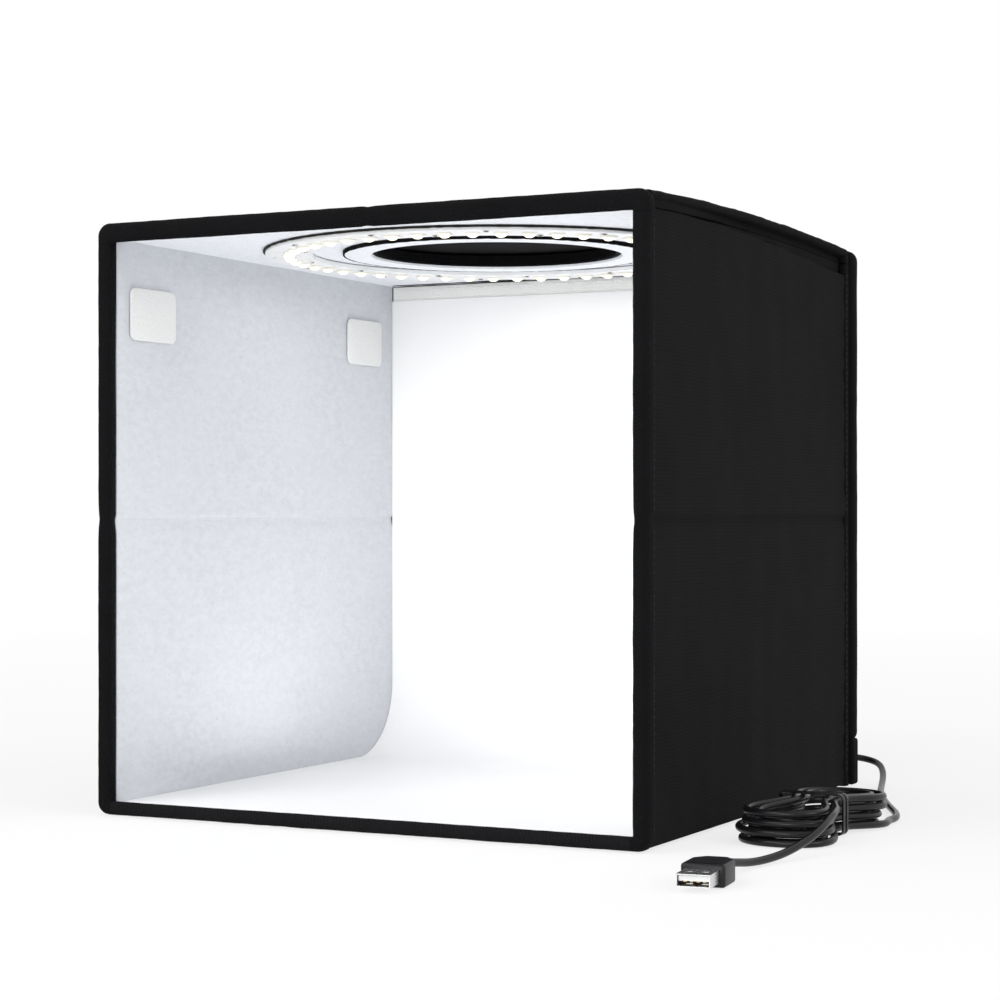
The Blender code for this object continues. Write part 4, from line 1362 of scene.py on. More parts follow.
        def place(across: float, deep: float) -> Vector:
            edge = min(across - low.x, high.x - across, deep - low.y, high.y - deep)
            hem = self.flap_hem * (1.0 - ease((edge - 0.0055) / 0.0012))
            wave = noise.noise(Vector((across * 22.0, deep * 22.0, 2.0)))
            slack = self.flap_slack * ease(edge / 0.02) * wave
            return Vector((across, deep, high.z + hem + slack))

        shape = cloth(spans, (96, 96), place, Vector((0.0, 0.0, -(high.z - low.z))))
        corners = edges_along(shape, Axis.Z, lambda at: min(abs(at.x), abs(at.y)) > 0.069)
        soften(shape, corners, 0.0009, 2)
        self.workshop.piece("hole_flap_cloth", shape, ROOF_CLOTH, "flap", ["hole_flap"])
        shape = bmesh.new()
        left, front = low.x + self.flap_inset, low.y + self.flap_inset
        right, rear = high.x - self.flap_inset, high.y - self.flap_inset
        ring = ((left, front), (right, front), (right, rear), (left, rear), (left, front))
        Stitches().run(shape, [Vector((x, y, high.z + 0.0004)) for x, y in ring])
        self.workshop.piece("flap_hem_thread", shape, BLACK_THREAD, "flap")

    def build_threads(self) -> None:
        """Stitches beside the edge rolls."""
        shape = bmesh.new()
        stitches = Stitches()
        level = self.cover[1].z + 0.0003
        for side in Side:
            across = side.value * (abs(self.roll[0].x) + 0.0004)
            line = []
            for deep in np.linspace(-0.114, 0.108, 60):
                line.append(Vector((across, deep, level + roof_bow(across, deep) * 0.95)))
            stitches.run(shape, line)
        self.workshop.piece("roof_seam_thread", shape, BLACK_THREAD, "roof")


@dataclass
class BackWall:
    """The back wall: cloth, lining, one roll all round with its notch, and the backdrop's strip."""

    workshop: Workshop
    bulge: float = 0.0018
    rise: float = 0.0004
    roll_wide: float = 0.0052
    roll_round: float = 0.0026
    roll_proud: float = 0.0010
    corner: float = 0.0050
    least_corner: float = 0.0004
    corner_steps: int = 6
    side_steps: int = 48
    cloth_thick: float = 0.0006

    def __post_init__(self) -> None:
        """Read the wall's places from the solids."""
        self.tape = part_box("back_tape")
        self.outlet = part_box("cable_outlet")
        self.notch = (self.outlet[0].x - 0.0024, self.outlet[1].z + 0.0024)

    def outline(self, inset: float, deep: float) -> list[Vector]:
        """The wall's outline with its notch, drawn in by an inset, with round corners.

        Args:
            inset: how far inside the outline the line runs.
            deep: its Y.

        Returns:
            The line's points, as many for every inset.
        """
        low, high = self.tape
        side, top = high.x + self.bulge, high.z + self.rise
        across, up = self.notch
        corners = [(-side, low.z), (across, low.z), (across, up), (side, up), (side, top), (-side, top)]
        corners = [Vector(corner) for corner in corners]
        line = []
        for before, corner, after in zip(corners[-1:] + corners, corners, corners[1:] + corners[:1]):
            way, onward = (corner - before).normalized(), (after - corner).normalized()
            left = Vector((-way.y, way.x))
            convex = onward.dot(left) > 0
            radius = max(self.corner - inset, self.least_corner) if convex else self.least_corner + inset
            start = corner + (left + Vector((-onward.y, onward.x))) * inset - way * radius
            centre = start + left * (radius if convex else -radius)
            for i in range(self.corner_steps + 1):
                angle = math.pi / 2 * i / self.corner_steps
                spoke = (start - centre) * math.cos(angle) + way * radius * math.sin(angle)
                line.append(centre + spoke)
        return self.filled(line, deep)

    def filled(self, line: Sequence[Vector], deep: float) -> list[Vector]:
        """The outline in space, with points added along its straight stretches.

        Args:
            line: the outline's flat points, corner by corner.
            deep: its Y.

        Returns:
            The points in space.
        """
        points = []
        group = self.corner_steps + 1
        for i, (start, end) in enumerate(zip(line, [*line[1:], line[0]])):
            steps = self.side_steps if i % group == group - 1 else 1
            points += [start.lerp(end, step / steps) for step in range(steps)]
        return [Vector((point.x, deep, point.y)) for point in points]

    def build(self) -> None:
        """Build every piece of the back wall."""
        self.build_roll()
        self.build_foot()
        self.build_sheets()
        self.build_strip()
        self.build_threads()

    def build_roll(self) -> None:
        """The padded roll round the whole wall."""
        wide = self.roll_wide + self.bulge
        radius = self.roll_round
        front, rear = self.tape[0].y + 0.0001 + radius, self.tape[1].y + self.roll_proud - radius
        centres = ((radius, rear), (wide - radius, rear), (wide - radius, front), (radius, front))
        section = []
        for quarter, (inset, deep) in enumerate(centres):
            for i in range(5):
                angle = math.pi * (1 - quarter / 2) - math.pi / 2 * i / 4
                section.append((inset + radius * math.cos(angle), deep + radius * math.sin(angle)))
        shape = sweep([self.outline(*spot) for spot in (*section, section[0])])
        ruffle(shape, 0.00010, 190.0)
        ruffle(shape, 0.00014, 50.0)
        self.workshop.piece("back_roll", shape, BACK_TAPE, "back", ["back_tape"], sharp=1.0)

    def build_foot(self) -> None:
        """The roll's foot beside the cable's notch, down to the ground."""
        low = Vector((self.outlet[1].x + 0.0005, self.tape[0].y + 0.0003, self.tape[0].z + 0.0004))
        high = Vector((self.tape[1].x + self.bulge, self.tape[1].y + self.roll_proud, self.notch[1] + 0.0020))
        shape = block(low, high)
        soften(shape, shape.edges[:], 0.0014, 4)
        self.workshop.piece("back_roll_foot", shape, BACK_TAPE, "back", sharp=1.0)

    def build_sheets(self) -> None:
        """The black cloth outside and the silver lining inside."""
        sides = (("back_cover", BACK_CLOTH, 0.0032, 1.0), ("back_lining", LINING, 0.0018, -1.0))
        for node, finish, grow, sign in sides:
            low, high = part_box(node)
            face = high.y if sign > 0 else low.y

            def place(across: float, up: float, face: float = face, sign: float = sign) -> Vector:
                billow = 0.0006 * noise.noise(Vector((across * 12.0, 6.0 * sign, up * 12.0)))
                crinkle = 0.00025 * noise.noise(Vector((across * 48.0, 2.0, up * 40.0)))
                return Vector((across, face + sign * (billow + crinkle) * 0.6, up))

            spans = ((low.x - grow, high.x + grow), (low.z - grow, high.z + grow))
            shape = open_cloth(spans, (110, 110), place)
            gone = []
            for part in shape.faces:
                middle = part.calc_center_median()
                if middle.x > self.notch[0] - 0.003 and middle.z < self.notch[1] + 0.003:
                    gone.append(part)
            bmesh.ops.delete(shape, geom=gone, context="FACES")
            thicken(shape, Vector((0.0, -sign * self.cloth_thick, 0.0)))
            self.workshop.piece(f"{node}_cloth", shape, finish, "back", [node])

    def build_strip(self) -> None:
        """The cream strip that the backdrop's top edge is pressed on."""
        low, high = (Vector(corner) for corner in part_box("backdrop_strip"))
        low.x, high.x, high.z = low.x - 0.0025, high.x + 0.0025, high.z + 0.0007
        shape = block(low, high)
        bmesh.ops.subdivide_edges(shape, edges=edges_along(shape, Axis.X), cuts=60)
        soften(shape, edges_along(shape, Axis.X), 0.0003, 2)
        self.workshop.piece("backdrop_webbing", shape, CREAM_STRIP, "back", ["backdrop_strip"])

    def build_threads(self) -> None:
        """Stitches along the roll's inner edge outside, and along the strip."""
        low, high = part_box("back_cover")
        deep = high.y + 0.0007
        side, top, bottom = high.x + 0.0012, high.z + 0.0012, low.z - 0.0012
        across, up = self.notch[0] - 0.0075, self.notch[1] + 0.0075
        ring = [(-side, bottom), (across, bottom), (across, up), (side, up), (side, top), (-side, top)]
        ring.append(ring[0])
        shape = bmesh.new()
        Stitches().run(shape, [Vector((x, deep, z)) for x, z in ring])
        self.workshop.piece("back_seam_thread", shape, BLACK_THREAD, "back")
        low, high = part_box("backdrop_strip")
        shape = bmesh.new()
        ends = (low.x + 0.003, high.x - 0.003)
        Stitches().run(shape, [Vector((x, low.y - 0.0001, high.z - 0.0012)) for x in ends])
        self.workshop.piece("strip_thread", shape, CREAM_STRIP, "back")


@dataclass
class FloorPanel:
    """The bottom panel: cloth under it, lining over it, and the roll along its rear edge."""

    workshop: Workshop
    grow: float = 0.0012
    cells: tuple[int, int] = (60, 60)

    def spans(self, low: Vector, high: Vector) -> tuple[Span, Span]:
        """A cloth's two spans, tucked under the rolls in front and behind."""
        return ((low.x, high.x), (low.y - self.grow, high.y + self.grow))

    def build(self) -> None:
        """Build every piece of the floor."""
        low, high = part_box("bottom_cover")

        def flat(across: float, deep: float) -> Vector:
            return Vector((across, deep, low.z))

        shape = cloth(self.spans(low, high), self.cells, flat, Vector((0.0, 0.0, 0.0006)))
        self.workshop.piece("floor_cover", shape, ROOF_CLOTH, "base", ["bottom_cover"])
        bottom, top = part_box("bottom_lining")

        def place(across: float, deep: float) -> Vector:
            wave = 0.0001 * noise.noise(Vector((across, deep, 0.0)) * 30.0)
            return Vector((across, deep, top.z - 0.0001 + wave))

        shape = cloth(self.spans(bottom, top), self.cells, place, Vector((0.0, 0.0, -0.0005)))
        self.workshop.piece("floor_lining", shape, LINING, "base", ["bottom_lining"])
        self.build_rear_roll()

    def build_rear_roll(self) -> None:
        """The padded roll along the floor's rear edge."""
        shape = block(*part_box("bottom_rear_tape"))
        soften(shape, edges_along(shape, Axis.X), 0.0021, 4)
        bmesh.ops.subdivide_edges(shape, edges=edges_along(shape, Axis.X), cuts=120)
        for vert in shape.verts:
            if vert.co.z > 0.002:
                vert.co.z += 0.00012 * noise.noise(vert.co * 60.0)
                vert.co.y += 0.00012 * noise.noise(vert.co * 90.0)
        self.workshop.piece("floor_rear_roll", shape, ACROSS_TAPE, "base", ["bottom_rear_tape"], sharp=1.0)


@dataclass
class Backdrop:
    """The white sheet: flat to the front, a sweep, then up to its strip."""

    workshop: Workshop
    sweep: float = 0.0360
    thick: float = 0.0005
    spread: float = 0.00275
    keep: float = 0.165
    steps: int = 24

    def build(self) -> None:
        """Draw the sheet's edge line with extrusions and a spin, and give it its thickness."""
        low, high = (Vector(corner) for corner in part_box("backdrop_sheet"))
        low.x -= self.spread
        high.x += self.spread
        rear, floor = high.y, low.z
        shape = bmesh.new()
        ends = [shape.verts.new((across, low.y, floor)) for across in (low.x, high.x)]
        bmesh.ops.subdivide_edges(shape, edges=[shape.edges.new(ends)], cuts=40)
        lying, rising = rear - self.sweep - low.y, high.z - floor - self.sweep
        line = self.carry(shape, shape.edges[:], Vector((0.0, lying / self.steps, 0.0)))
        spun = bmesh.ops.spin(
            shape,
            geom=line,
            cent=(0.0, rear - self.sweep, floor + self.sweep),
            axis=(1, 0, 0),
            angle=math.pi / 2,
            steps=28,
            use_merge=False,
        )
        self.carry(shape, edges_of(spun["geom_last"]), Vector((0.0, 0.0, rising / self.steps)))
        bmesh.ops.remove_doubles(shape, verts=shape.verts[:], dist=1e-6)
        bmesh.ops.recalc_face_normals(shape, faces=shape.faces[:])
        self.give_thickness(shape, rear, floor)
        sheet = self.workshop.piece("backdrop_film_sheet", shape, SHEET_FILM, "base", ["backdrop_sheet"])
        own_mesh(sheet)

    def carry(self, shape: Shape, edges: list, step: Vector) -> list:
        """Extrude a row of edges again and again.

        Args:
            shape: the bmesh.
            edges: the row.
            step: how far each extrusion goes.

        Returns:
            The last row.
        """
        for _ in range(self.steps):
            grown = bmesh.ops.extrude_edge_only(shape, edges=edges)["geom"]
            fresh = set(verts_of(grown))
            bmesh.ops.translate(shape, verts=verts_of(grown), vec=step)
            edges = [edge for edge in edges_of(grown) if fresh.issuperset(edge.verts)]
        return edges

    def give_thickness(self, shape: Shape, rear: float, floor: float) -> None:
        """Close the sheet with a second side on its inner face.

        Args:
            shape: the open sheet.
            rear: the Y of its upright part.
            floor: the height of its lying part.
        """
        grown = bmesh.ops.extrude_face_region(shape, geom=shape.faces[:], use_keep_orig=True)["geom"]
        centre = Vector((0.0, rear - self.sweep, floor + self.sweep))
        for vert in verts_of(grown):
            flat = vert.co.y <= centre.y
            upright = vert.co.z >= centre.z
            inward = Vector((0.0, 0.0, 1.0)) if flat else Vector((0.0, -1.0, 0.0))
            if not flat and not upright:
                inward = Vector((0.0, centre.y - vert.co.y, centre.z - vert.co.z)).normalized()
            vert.co += inward * self.thick


@dataclass
class RingLight:
    """The ring light: dark backing, white board, LEDs, small parts and its lead."""

    workshop: Workshop
    count: int = 50
    radius: float = 0.0925
    shift: float = 0.37
    case_side: float = 0.0056
    case_high: float = 0.0009
    dome: float = 0.0023
    dome_high: float = 0.0012
    backing_hole: float = 0.0838
    board_wide: float = 0.0200
    clip: float = 0.0001
    resistor: Triple = (0.0012, 0.0018, 0.0005)
    resistor_end: Triple = (0.0013, 0.0005, 0.00052)
    outer_row: float = 0.0065
    inner_row: float = 0.0060

    def build(self) -> None:
        """Build every piece of the ring light."""
        low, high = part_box("ring_backing")
        under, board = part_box("ring_board")
        shape = lathe(ring_profile((self.backing_hole, high.x), (low.z, high.z + 0.0001), 0.0002), 260)
        ruffle(shape, 0.00028, 300.0)
        self.workshop.piece("ring_backing_foam", shape, DARK_FOAM, "roof", ["ring_backing"])
        clip = self.clip
        hole, rim, lip = board.x - self.board_wide, board.x + 0.0005, self.backing_hole - 0.0002
        profile = [(hole + clip, under.z), (rim - clip, under.z), (rim, under.z + clip), (rim, low.z + clip)]
        profile += [(lip, low.z + clip), (lip, high.z - clip)]
        profile += [(hole, high.z - clip), (hole, under.z + clip)]
        shape = lathe(profile, 220)
        self.workshop.piece("ring_light_board", shape, LACQUER, "roof", ["ring_board"])
        self.build_leds(under.z)
        self.build_small_parts(under.z)
        self.workshop.dress("ring_lead", LEAD_VINYL)

    def turn(self, step: float) -> Matrix:
        """The turn that takes a part from the X axis to its step round the ring."""
        return Matrix.Rotation(math.tau * (step + self.shift) / self.count, 4, "Z")

    def build_leds(self, board: float) -> None:
        """White cases with glowing phosphor domes.

        Args:
            board: the height of the board's underside.
        """
        cases, domes = bmesh.new(), bmesh.new()
        for i in range(self.count):
            place = self.turn(i) @ Matrix.Translation((self.radius, 0.0, board - self.case_high / 2))
            size = Matrix.Diagonal((self.case_side, self.case_side, self.case_high, 1.0))
            bmesh.ops.create_cube(cases, size=1.0, matrix=place @ size)
            place = self.turn(i) @ Matrix.Translation((self.radius, 0.0, board - self.case_high + 0.0001))
            size = Matrix.Diagonal((self.dome, self.dome, self.dome_high, 1.0))
            bmesh.ops.create_uvsphere(domes, u_segments=14, v_segments=8, radius=1.0, matrix=place @ size)
        soften(cases, cases.edges[:], self.case_side / 2 * 0.08, 1)
        leds = self.workshop.piece("led_cases", cases, LED_CASE, "roof", ["leds"])
        glow = self.workshop.piece("led_domes", domes, LED_GLOW, "roof")
        LOG.info("%d LEDs in %s and %s", self.count, leds.name, glow.name)

    def build_small_parts(self, board: float) -> None:
        """Chip resistors between the LEDs, in and out by turns, with tinned ends.

        Args:
            board: the height of the board's underside.
        """
        bodies, ends = bmesh.new(), bmesh.new()
        size, end_size = (Matrix.Diagonal((*sides, 1.0)) for sides in (self.resistor, self.resistor_end))
        for i in range(0, self.count, 2):
            radius = self.radius - self.inner_row if i % 4 else self.radius + self.outer_row
            place = self.turn(i + 0.5) @ Matrix.Translation((radius, 0.0, board - 0.0003))
            bmesh.ops.create_cube(bodies, size=1.0, matrix=place @ size)
            for side in (-1, 1):
                shifted = place @ Matrix.Translation((0.0, side * 0.0011, 0.0))
                bmesh.ops.create_cube(ends, size=1.0, matrix=shifted @ end_size)
        self.workshop.piece("chip_resistors", bodies, RESISTOR, "roof")
        self.workshop.piece("resistor_ends", ends, TIN, "roof")


# Cable and plug

LEAD_ROUTE = (
    (0.1178, 0.1364, 0.0116),
    (0.1213, 0.1398, 0.0111),
    (0.1260, 0.1411, 0.0103),
    (0.1308, 0.1398, 0.0092),
    (0.1343, 0.1362, 0.0078),
    (0.1373, 0.1300, 0.0058),
    (0.1400, 0.1215, 0.0038),
    (0.1428, 0.1110, 0.0024),
    (0.1462, 0.0990, 0.0017),
    (0.1503, 0.0860, 0.0016),
    (0.1553, 0.0720, 0.0016),
    (0.1608, 0.0580, 0.0016),
    (0.1668, 0.0440, 0.0016),
    (0.1729, 0.0305, 0.0016),
    (0.1783, 0.0180, 0.0016),
    (0.1817, 0.0065, 0.0016),
)
TAIL_ROUTE = (
    (0.1832, -0.0815, 0.0118),
    (0.1834, -0.0900, 0.0097),
    (0.1824, -0.0990, 0.0071),
    (0.1804, -0.1085, 0.0047),
    (0.1779, -0.1185, 0.0028),
    (0.1752, -0.1290, 0.0019),
    (0.1728, -0.1393, 0.0020),
    (0.1711, -0.1492, 0.0031),
)


@dataclass(frozen=True)
class HankForm:
    """How the put-away cable is wound: a waisted spiral in layers."""

    middle: Span = (0.1635, -0.0440)
    turn: float = math.radians(-92)
    half_long: float = 0.0455
    half_wide: float = 0.0235
    end_full_share: float = 0.5
    waist_share: float = 0.55
    waist_length_share: float = 0.50
    layers: int = 4
    turns_per_layer: float = 1.81
    points_per_turn: int = 60
    start: float = math.radians(40)
    step: float = 0.0040
    layer_step: float = 0.0036
    climb_turns: float = 0.5
    length_shares: tuple[float, ...] = (1.00, 0.98, 1.00, 0.97)
    width_shares: tuple[float, ...] = (1.00, 0.98, 1.02, 1.00)
    tie_lift: float = 0.0014
    cord: float = 0.0030
    clear: float = 0.0001

    def local_point(self, turn: float) -> Triple:
        """The cable's middle at a number of turns, along and across the hank."""
        angle = self.start + math.tau * turn
        layer = 0.0
        for reversal in range(1, self.layers):
            late = turn - reversal * self.turns_per_layer + self.climb_turns / 2
            layer += ease(late / self.climb_turns)
        phase = (turn / self.turns_per_layer) % 2
        inward = self.step * self.turns_per_layer * min(phase, 2 - phase)
        numbers = np.arange(self.layers)
        half_long = self.half_long * np.interp(layer, numbers, self.length_shares) - inward
        half_wide = self.half_wide * np.interp(layer, numbers, self.width_shares)
        along = -half_long * math.cos(angle)
        at_waist = math.exp(-((along / (self.waist_length_share * self.half_long)) ** 2))
        half_wide = half_wide * (1 - self.waist_share * at_waist) - inward
        full = 1 + self.end_full_share * math.cos(angle) ** 2
        high = self.cord / 2 + self.clear + self.tie_lift * at_waist + self.layer_step * layer
        return (along, half_wide * full * math.sin(angle), high)

    def placed(self) -> Matrix:
        """The turn and move from the hank's own axes to the world."""
        return Matrix.Translation((*self.middle, 0.0)) @ Matrix.Rotation(self.turn, 4, "Z")

    def points(self) -> list[Vector]:
        """The cable's middle line through the whole hank."""
        turns = self.layers * self.turns_per_layer
        count = round(turns * self.points_per_turn)
        local = [np.array(self.local_point(turns * i / count)) for i in range(count + 1)]
        first = local[0] - self.cord * (local[1] - local[0]) / np.linalg.norm(local[1] - local[0])
        last = local[-1] + self.cord * (local[-1] - local[-2]) / np.linalg.norm(local[-1] - local[-2])
        return [self.placed() @ Vector(point) for point in (first, *local, last)]


def smooth_route(points: Sequence[Sequence[float]], spacing: float) -> list[Vector]:
    """Points at an even spacing along a smooth curve through the given ones, with straight ends.

    Args:
        points: the route's points.
        spacing: how far apart the new points are.

    Returns:
        The new points.
    """
    knots = [Vector(point) for point in points]
    fine = []
    for before, start, end, after in zip(knots, knots[1:], knots[2:], knots[3:]):
        for i in range(12):
            t = i / 12
            bend = 2 * before - 5 * start + 4 * end - after
            twist = 3 * (start - end) + after - before
            fine.append(start + ((end - before) * t + bend * t * t + twist * t**3) / 2)
    fine.append(knots[-2])
    table = np.array([tuple(point) for point in fine])
    walked = np.concatenate([[0.0], np.cumsum(np.linalg.norm(np.diff(table, axis=0), axis=1))])
    wanted = np.linspace(0.0, walked[-1], max(2, round(walked[-1] / spacing)) + 1)
    columns = [np.interp(wanted, walked, table[:, axis]) for axis in range(3)]
    return [knots[0], *(Vector(point) for point in zip(*columns)), knots[-1]]


@dataclass
class Cable:
    """The USB cable: one unbroken cord, its sleeve, its tie and its plug."""

    workshop: Workshop
    cord: float = 0.0030
    gap: float = 0.0003
    plug_start: Span = (0.1706, -0.1600)
    plug_turn: float = math.radians(-83.3)
    plug_high: float = 0.0041
    outlet_high: float = 0.0118
    least_step: float = 0.0004
    spacing: float = 0.0015
    turn_steps: int = 32
    band_half: float = 0.00115
    band_thick: float = 0.00075
    hank: HankForm = HankForm()

    def plug_point(self, along: float, across: float = 0.0, up: float = 0.0) -> Vector:
        """A point by the plug's axis, measured from the rear of its boot."""
        way = Vector((math.cos(self.plug_turn), math.sin(self.plug_turn), 0.0))
        aside = Vector((-way.y, way.x, 0.0))
        return Vector((*self.plug_start, self.plug_high + up)) + way * along + aside * across

    def plug_matrix(self, along: float) -> Matrix:
        """The place of a shape drawn along X from a spot on the plug's axis."""
        return Matrix.Translation(self.plug_point(along)) @ Matrix.Rotation(self.plug_turn, 4, "Z")

    def build(self) -> None:
        """Build the cord and all that is on it."""
        kept = ("cable_outlet", "plug_shell", "plug_tongue", "plug_contacts")
        for node, finish in zip(kept, (MOULDING, PLATED_STEEL, TONGUE_PLASTIC, CONTACT_GOLD)):
            self.workshop.dress(node, finish)
        boot = self.build_boot()
        body = self.build_plug_body()
        sleeve = self.build_sleeve()
        tie = self.build_tie()
        self.build_cord()

    def route(self) -> list[Vector]:
        """The cord's whole middle line, from the outlet to the plug."""
        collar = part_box("cable_outlet")[1]
        across = (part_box("cable_outlet")[0].x + collar.x) / 2
        start = Vector((across, collar.y + self.gap, self.outlet_high))
        hank = self.hank.points()
        forward = (hank[1] - hank[0]).normalized()
        lead_end = hank[0] - forward * self.gap
        lead = [start, start + Vector((0, self.cord, 0)), *LEAD_ROUTE]
        lead += [lead_end - forward * self.cord, lead_end]
        onward = (hank[-1] - hank[-2]).normalized()
        tail_start = hank[-1] + onward * self.gap
        tail = [tail_start, tail_start + onward * self.cord, *TAIL_ROUTE]
        tail += [self.plug_point(-self.gap - self.cord), self.plug_point(-self.gap)]
        return smooth_route(lead, self.spacing) + hank + smooth_route(tail, self.spacing)

    def build_cord(self) -> None:
        """The cord itself, as one open curve with a round section.
        """
        points = self.route()
        kept = [points[0]]
        for point in points[1:]:
            if (point - kept[-1]).length > self.least_step:
                kept.append(point)
        kept[-1] = points[-1]
        curve = bpy.data.curves.new("usb_cord", "CURVE")
        curve.dimensions = "3D"
        curve.bevel_depth = self.cord / 2
        curve.bevel_resolution = 4
        curve.use_fill_caps = True
        spline = curve.splines.new("POLY")
        spline.points.add(len(kept) - 1)
        for knot, point in zip(spline.points, kept):
            knot.co = (*point, 1.0)
        spline.use_smooth = True
        cord = bpy.data.objects.new("usb_cord", curve)
        link(cord)
        self.workshop.settle(cord, RUBBER, "base", ["cord_lead", "cord_hank", "cord_tail"])
        length = sum((b - a).length for a, b in zip(kept, kept[1:]))
        LOG.info("cord length %.3f m", length)
        tuple(kept[0])

    def build_sleeve(self) -> bpy.types.Object:
        """The tapered, ringed strain relief at the outlet."""
        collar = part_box("cable_outlet")
        across = (collar[0].x + collar[1].x) / 2
        rings, pitch, groove = 4, 0.00115, 0.00035
        profile = [(0.0, 0.0)]
        for i in range(rings):
            at = i * pitch
            radius = 0.0024 - 0.00018 * i
            profile += [(radius, at), (radius, at + 0.00070)]
            profile += [(radius - groove, at + 0.00085), (radius - groove, at + 0.00110)]
        profile.append((0.0, rings * pitch))
        shape = lathe(profile, self.turn_steps, closed=False)
        place = Matrix.Translation((across, collar[1].y, self.outlet_high))
        lay = place @ Matrix.Rotation(math.radians(-90), 4, "X")
        bmesh.ops.transform(shape, matrix=lay, verts=shape.verts[:])
        return self.workshop.piece("outlet_sleeve", shape, MOULDING, "base", sharp=0.6)

    def build_boot(self) -> bpy.types.Object:
        """The plug's ringed boot."""
        long, thin, wide = 0.0085, 0.0021, 0.0034
        profile = [(0.0, 0.0), (thin, 0.0)]
        for i in range(3):
            at = 0.0012 + i * 0.0023
            radius = thin + (wide - thin) * (i + 1) / 3
            profile += [(radius - 0.0002, at), (radius, at + 0.0002), (radius, at + 0.0012)]
            profile += [(radius - 0.0002, at + 0.0014), (radius - 0.0008, at + 0.0015)]
            profile.append((radius - 0.0008, at + 0.0022))
        profile += [(wide, long), (0.0, long)]
        shape = lathe(profile, self.turn_steps, closed=False)
        lay = self.plug_matrix(0.0) @ Matrix.Rotation(math.radians(90), 4, "Y")
        bmesh.ops.transform(shape, matrix=lay, verts=shape.verts[:])
        return self.workshop.piece("plug_ringed_boot", shape, MOULDING, "base", ["plug_boot"], sharp=0.6)

    def build_plug_body(self) -> bpy.types.Object:
        """The moulded grip, drawn in towards the boot, with a shallow panel above and below."""
        long, shoulder, half, neck, high = 0.0200, 0.0050, 0.0079, 0.0040, 0.0040
        shape = bmesh.new()
        outline = [(0.0, -neck), (shoulder, -half), (long, -half), (long, half), (shoulder, half)]
        outline.append((0.0, neck))
        shape.faces.new([shape.verts.new((x, y, -high)) for x, y in outline])
        thicken(shape, Vector((0.0, 0.0, 2 * high)))
        bmesh.ops.recalc_face_normals(shape, faces=shape.faces[:])
        soften(shape, edges_along(shape, Axis.Z), 0.0012, 4)
        caps = [part for part in shape.faces if abs(part.normal.z) > 0.9]
        bmesh.ops.inset_individual(shape, faces=caps, thickness=0.0022, use_even_offset=True)
        soften(shape, sharp_edges(shape, 1.2), 0.0010, 4)
        bmesh.ops.transform(shape, matrix=self.plug_matrix(0.0088), verts=shape.verts[:])
        return self.workshop.piece("plug_grip", shape, MOULDING, "base", ["plug_body"])

    def build_tie(self) -> bpy.types.Object:
        """The tie round the hank's waist, two turns of a flat band."""
        back = self.hank.placed().inverted()
        tie = self.workshop.frame["nodes"]["hank_tie"]
        local = np.array([tuple(back @ vert.co) for vert in tie.data.vertices])
        left, right = local[:, 1].min(), local[:, 1].max()
        bottom, top = local[:, 2].min(), local[:, 2].max()
        LOG.info("tie across %.4f, up %.4f", right - left, top - bottom)
        shape = bmesh.new()
        for middle, lean in ((-0.0013, 0.05), (0.0013, -0.04)):
            band = block((middle - self.band_half, left, bottom), (middle + self.band_half, right, top))
            soften(band, edges_along(band, Axis.X), 0.0026, 6)
            caps = [part for part in band.faces if abs(part.normal.x) > 0.9]
            bmesh.ops.inset_region(band, faces=caps, thickness=self.band_thick, use_even_offset=True)
            inner = sorted(band.faces, key=lambda part: -part.calc_area() * (abs(part.normal.x) > 0.9))[:2]
            rims = [list(part.edges) for part in inner]
            bmesh.ops.delete(band, geom=inner, context="FACES_ONLY")
            bmesh.ops.bridge_loops(band, edges=[*rims[0], *rims[1]])
            soften(band, sharp_edges(band), 0.00022, 2)
            centre = Matrix.Translation((0, (left + right) / 2, 0))
            tilt = centre @ Matrix.Rotation(lean, 4, "Z") @ centre.inverted()
            bmesh.ops.transform(band, matrix=self.hank.placed() @ tilt, verts=band.verts[:])
            mesh = bpy.data.meshes.new("band")
            band.to_mesh(mesh)
            band.free()
            shape.from_mesh(mesh)
            bpy.data.meshes.remove(mesh)
        return self.workshop.piece("hank_tie_band", shape, TIE_VINYL, "base", ["hank_tie"])


# Stage


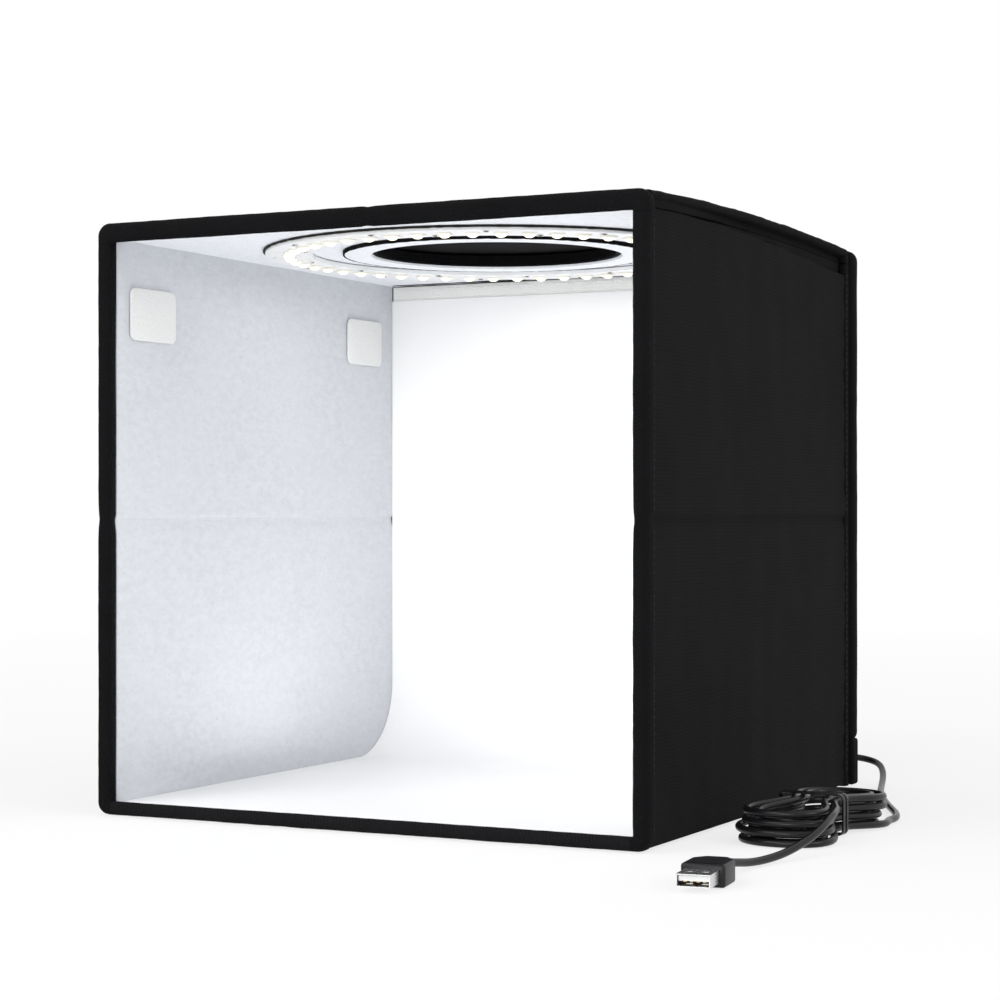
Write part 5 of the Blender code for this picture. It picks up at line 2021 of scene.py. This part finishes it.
@dataclass
class Studio:
    """A pale floor, soft light and the camera."""

    lens: float = 84.46
    camera_place: Triple = (0.4727, -0.9348, 0.1290)
    camera_yaw: float = math.radians(26.75)
    shift_up: float = 0.0098
    world_light: float = 0.72
    floor_white: float = 0.75
    floor_fade: Span = (0.25, 1.6)
    floor_half: float = 6.0
    floor_low: float = -0.0002

    def build(self) -> None:
        """Build the whole stage."""
        self.build_camera()
        self.build_world()
        self.build_floor()
        self.add_lamp("key", (-0.9, -1.5, 1.5), (0.0, 0.0, 0.12), 1.2, 16.0)
        self.add_lamp("front_fill", (0.25, -1.9, 0.35), (0.0, 0.0, 0.12), 0.9, 12.0)
        self.add_lamp("right_fill", (1.7, -0.3, 0.9), (0.12, 0.0, 0.12), 0.9, 10.0)
        self.add_lamp("ring_glow", (0.0, 0.0, 0.2370), (0.0, 0.0, 0.0), 0.19, 0.083)
        self.add_lamp("floor_bounce", (0.0, -0.01, 0.0120), (0.0, 0.0, 0.3), 0.20, 0.16)

    def build_camera(self) -> None:
        """The camera at the photograph's angle."""
        data = bpy.data.cameras.new("camera")
        data.lens = self.lens
        data.sensor_width = 36.0
        data.shift_y = self.shift_up
        camera = bpy.data.objects.new("camera", data)
        camera.location = self.camera_place
        camera.rotation_euler = (math.radians(90), 0.0, self.camera_yaw)
        link(camera)
        bpy.context.scene.camera = camera

    def seen_share(self, tree: bpy.types.NodeTree) -> Socket:
        """One for camera, glossy and transmission rays, else nought.

        Args:
            tree: the node tree that it is added to.

        Returns:
            The share's output.
        """
        rays = tree.nodes.new("ShaderNodeLightPath")
        total = rays.outputs["Is Camera Ray"]
        for name in ("Is Glossy Ray", "Is Transmission Ray"):
            either = tree.nodes.new("ShaderNodeMath")
            either.operation = "MAXIMUM"
            tree.links.new(total, either.inputs[0])
            tree.links.new(rays.outputs[name], either.inputs[1])
            total = either.outputs[0]
        return total

    def build_world(self) -> None:
        """White all round: full strength to the eye, softer as light."""
        world = bpy.data.worlds.new("studio")
        world.use_nodes = True
        bpy.context.scene.world = world
        tree = world.node_tree
        light = tree.nodes["Background"]
        light.inputs["Color"].default_value = (1.0, 1.0, 1.0, 1.0)
        light.inputs["Strength"].default_value = self.world_light
        seen = tree.nodes.new("ShaderNodeBackground")
        seen.inputs["Color"].default_value = (1.0, 1.0, 1.0, 1.0)
        self.join(tree, (self.seen_share(tree), light.outputs[0], seen.outputs[0]), "World Output")

    def join(self, tree: bpy.types.NodeTree, parts: Sequence[Socket], output: str) -> None:
        """Blend two shaders by a share and send them to an output.

        Args:
            tree: the node tree.
            parts: the second shader's share, the first shader and the second one.
            output: the output node's name.
        """
        mix = tree.nodes.new("ShaderNodeMixShader")
        for socket, part in zip(mix.inputs, parts):
            tree.links.new(part, socket)
        tree.links.new(mix.outputs[0], tree.nodes[output].inputs["Surface"])

    def build_floor(self) -> None:
        """A wide pale floor that keeps a soft shadow."""
        shape = bmesh.new()
        place = Matrix.Translation((0, 0, self.floor_low))
        bmesh.ops.create_grid(shape, x_segments=8, y_segments=8, size=self.floor_half, matrix=place)
        mesh = bpy.data.meshes.new("studio_floor")
        shape.to_mesh(mesh)
        shape.free()
        floor = bpy.data.objects.new("studio_floor", mesh)
        link(floor)
        material = bpy.data.materials.new("studio_floor")
        material.use_nodes = True
        tree = material.node_tree
        shader = tree.nodes["Principled BSDF"]
        shader.inputs["Base Color"].default_value = (0.85, 0.85, 0.85, 1.0)
        shader.inputs["Roughness"].default_value = 0.9
        shader.inputs["Specular IOR Level"].default_value = 0.0
        glow = tree.nodes.new("ShaderNodeEmission")
        away = tree.nodes.new("ShaderNodeVectorMath")
        away.operation = "LENGTH"
        tree.links.new(tree.nodes.new("ShaderNodeTexCoord").outputs["Object"], away.inputs[0])
        fade = tree.nodes.new("ShaderNodeMapRange")
        numbers = (*self.floor_fade, self.floor_white, 1.0)
        for name, number in zip(("From Min", "From Max", "To Min", "To Max"), numbers):
            fade.inputs[name].default_value = number
        tree.links.new(away.outputs["Value"], fade.inputs["Value"])
        share = tree.nodes.new("ShaderNodeMath")
        share.operation = "MULTIPLY"
        tree.links.new(self.seen_share(tree), share.inputs[0])
        tree.links.new(fade.outputs[0], share.inputs[1])
        self.join(tree, (share.outputs[0], shader.outputs[0], glow.outputs[0]), "Material Output")
        mesh.materials.append(material)

    def add_lamp(
        self,
        name: str,
        place: Sequence[float],
        aim: Sequence[float],
        size: float,
        power: float,
    ) -> None:
        """One soft disc lamp.

        Args:
            name: the lamp's name.
            place: where it stands.
            aim: the point it faces.
            size: its diameter.
            power: its power in watts.
        """
        data = bpy.data.lights.new(name, "AREA")
        data.shape = "DISK"
        data.size = size
        data.energy = power
        lamp = bpy.data.objects.new(name, data)
        lamp.location = place
        lamp.rotation_euler = (Vector(aim) - Vector(place)).to_track_quat("-Z", "Y").to_euler()
        lamp.visible_camera = False
        link(lamp)


def main() -> None:
    """Load the model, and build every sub-assembly and the stage."""
    logging.basicConfig(level=logging.INFO, format="%(name)s: %(message)s")
    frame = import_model()
    bpy.context.scene.view_settings.view_transform = "Standard"
    Studio().build()
    workshop = Workshop(frame)
    Cable(workshop).build()
    walls = [SideWall(workshop, side) for side in Side]
    for wall in walls:
        wall.build()
    FrontFrame(workshop, walls).build()
    RoofFrame(workshop).build()
    BackWall(workshop).build()
    FloorPanel(workshop).build()
    Backdrop(workshop).build()
    RingLight(workshop).build()
    for node in sorted(frame["nodes"]):
        if node.endswith("_board") and node != "ring_board":
            workshop.dress(node, CORE_BOARD)


if __name__ == "__main__":
    main()
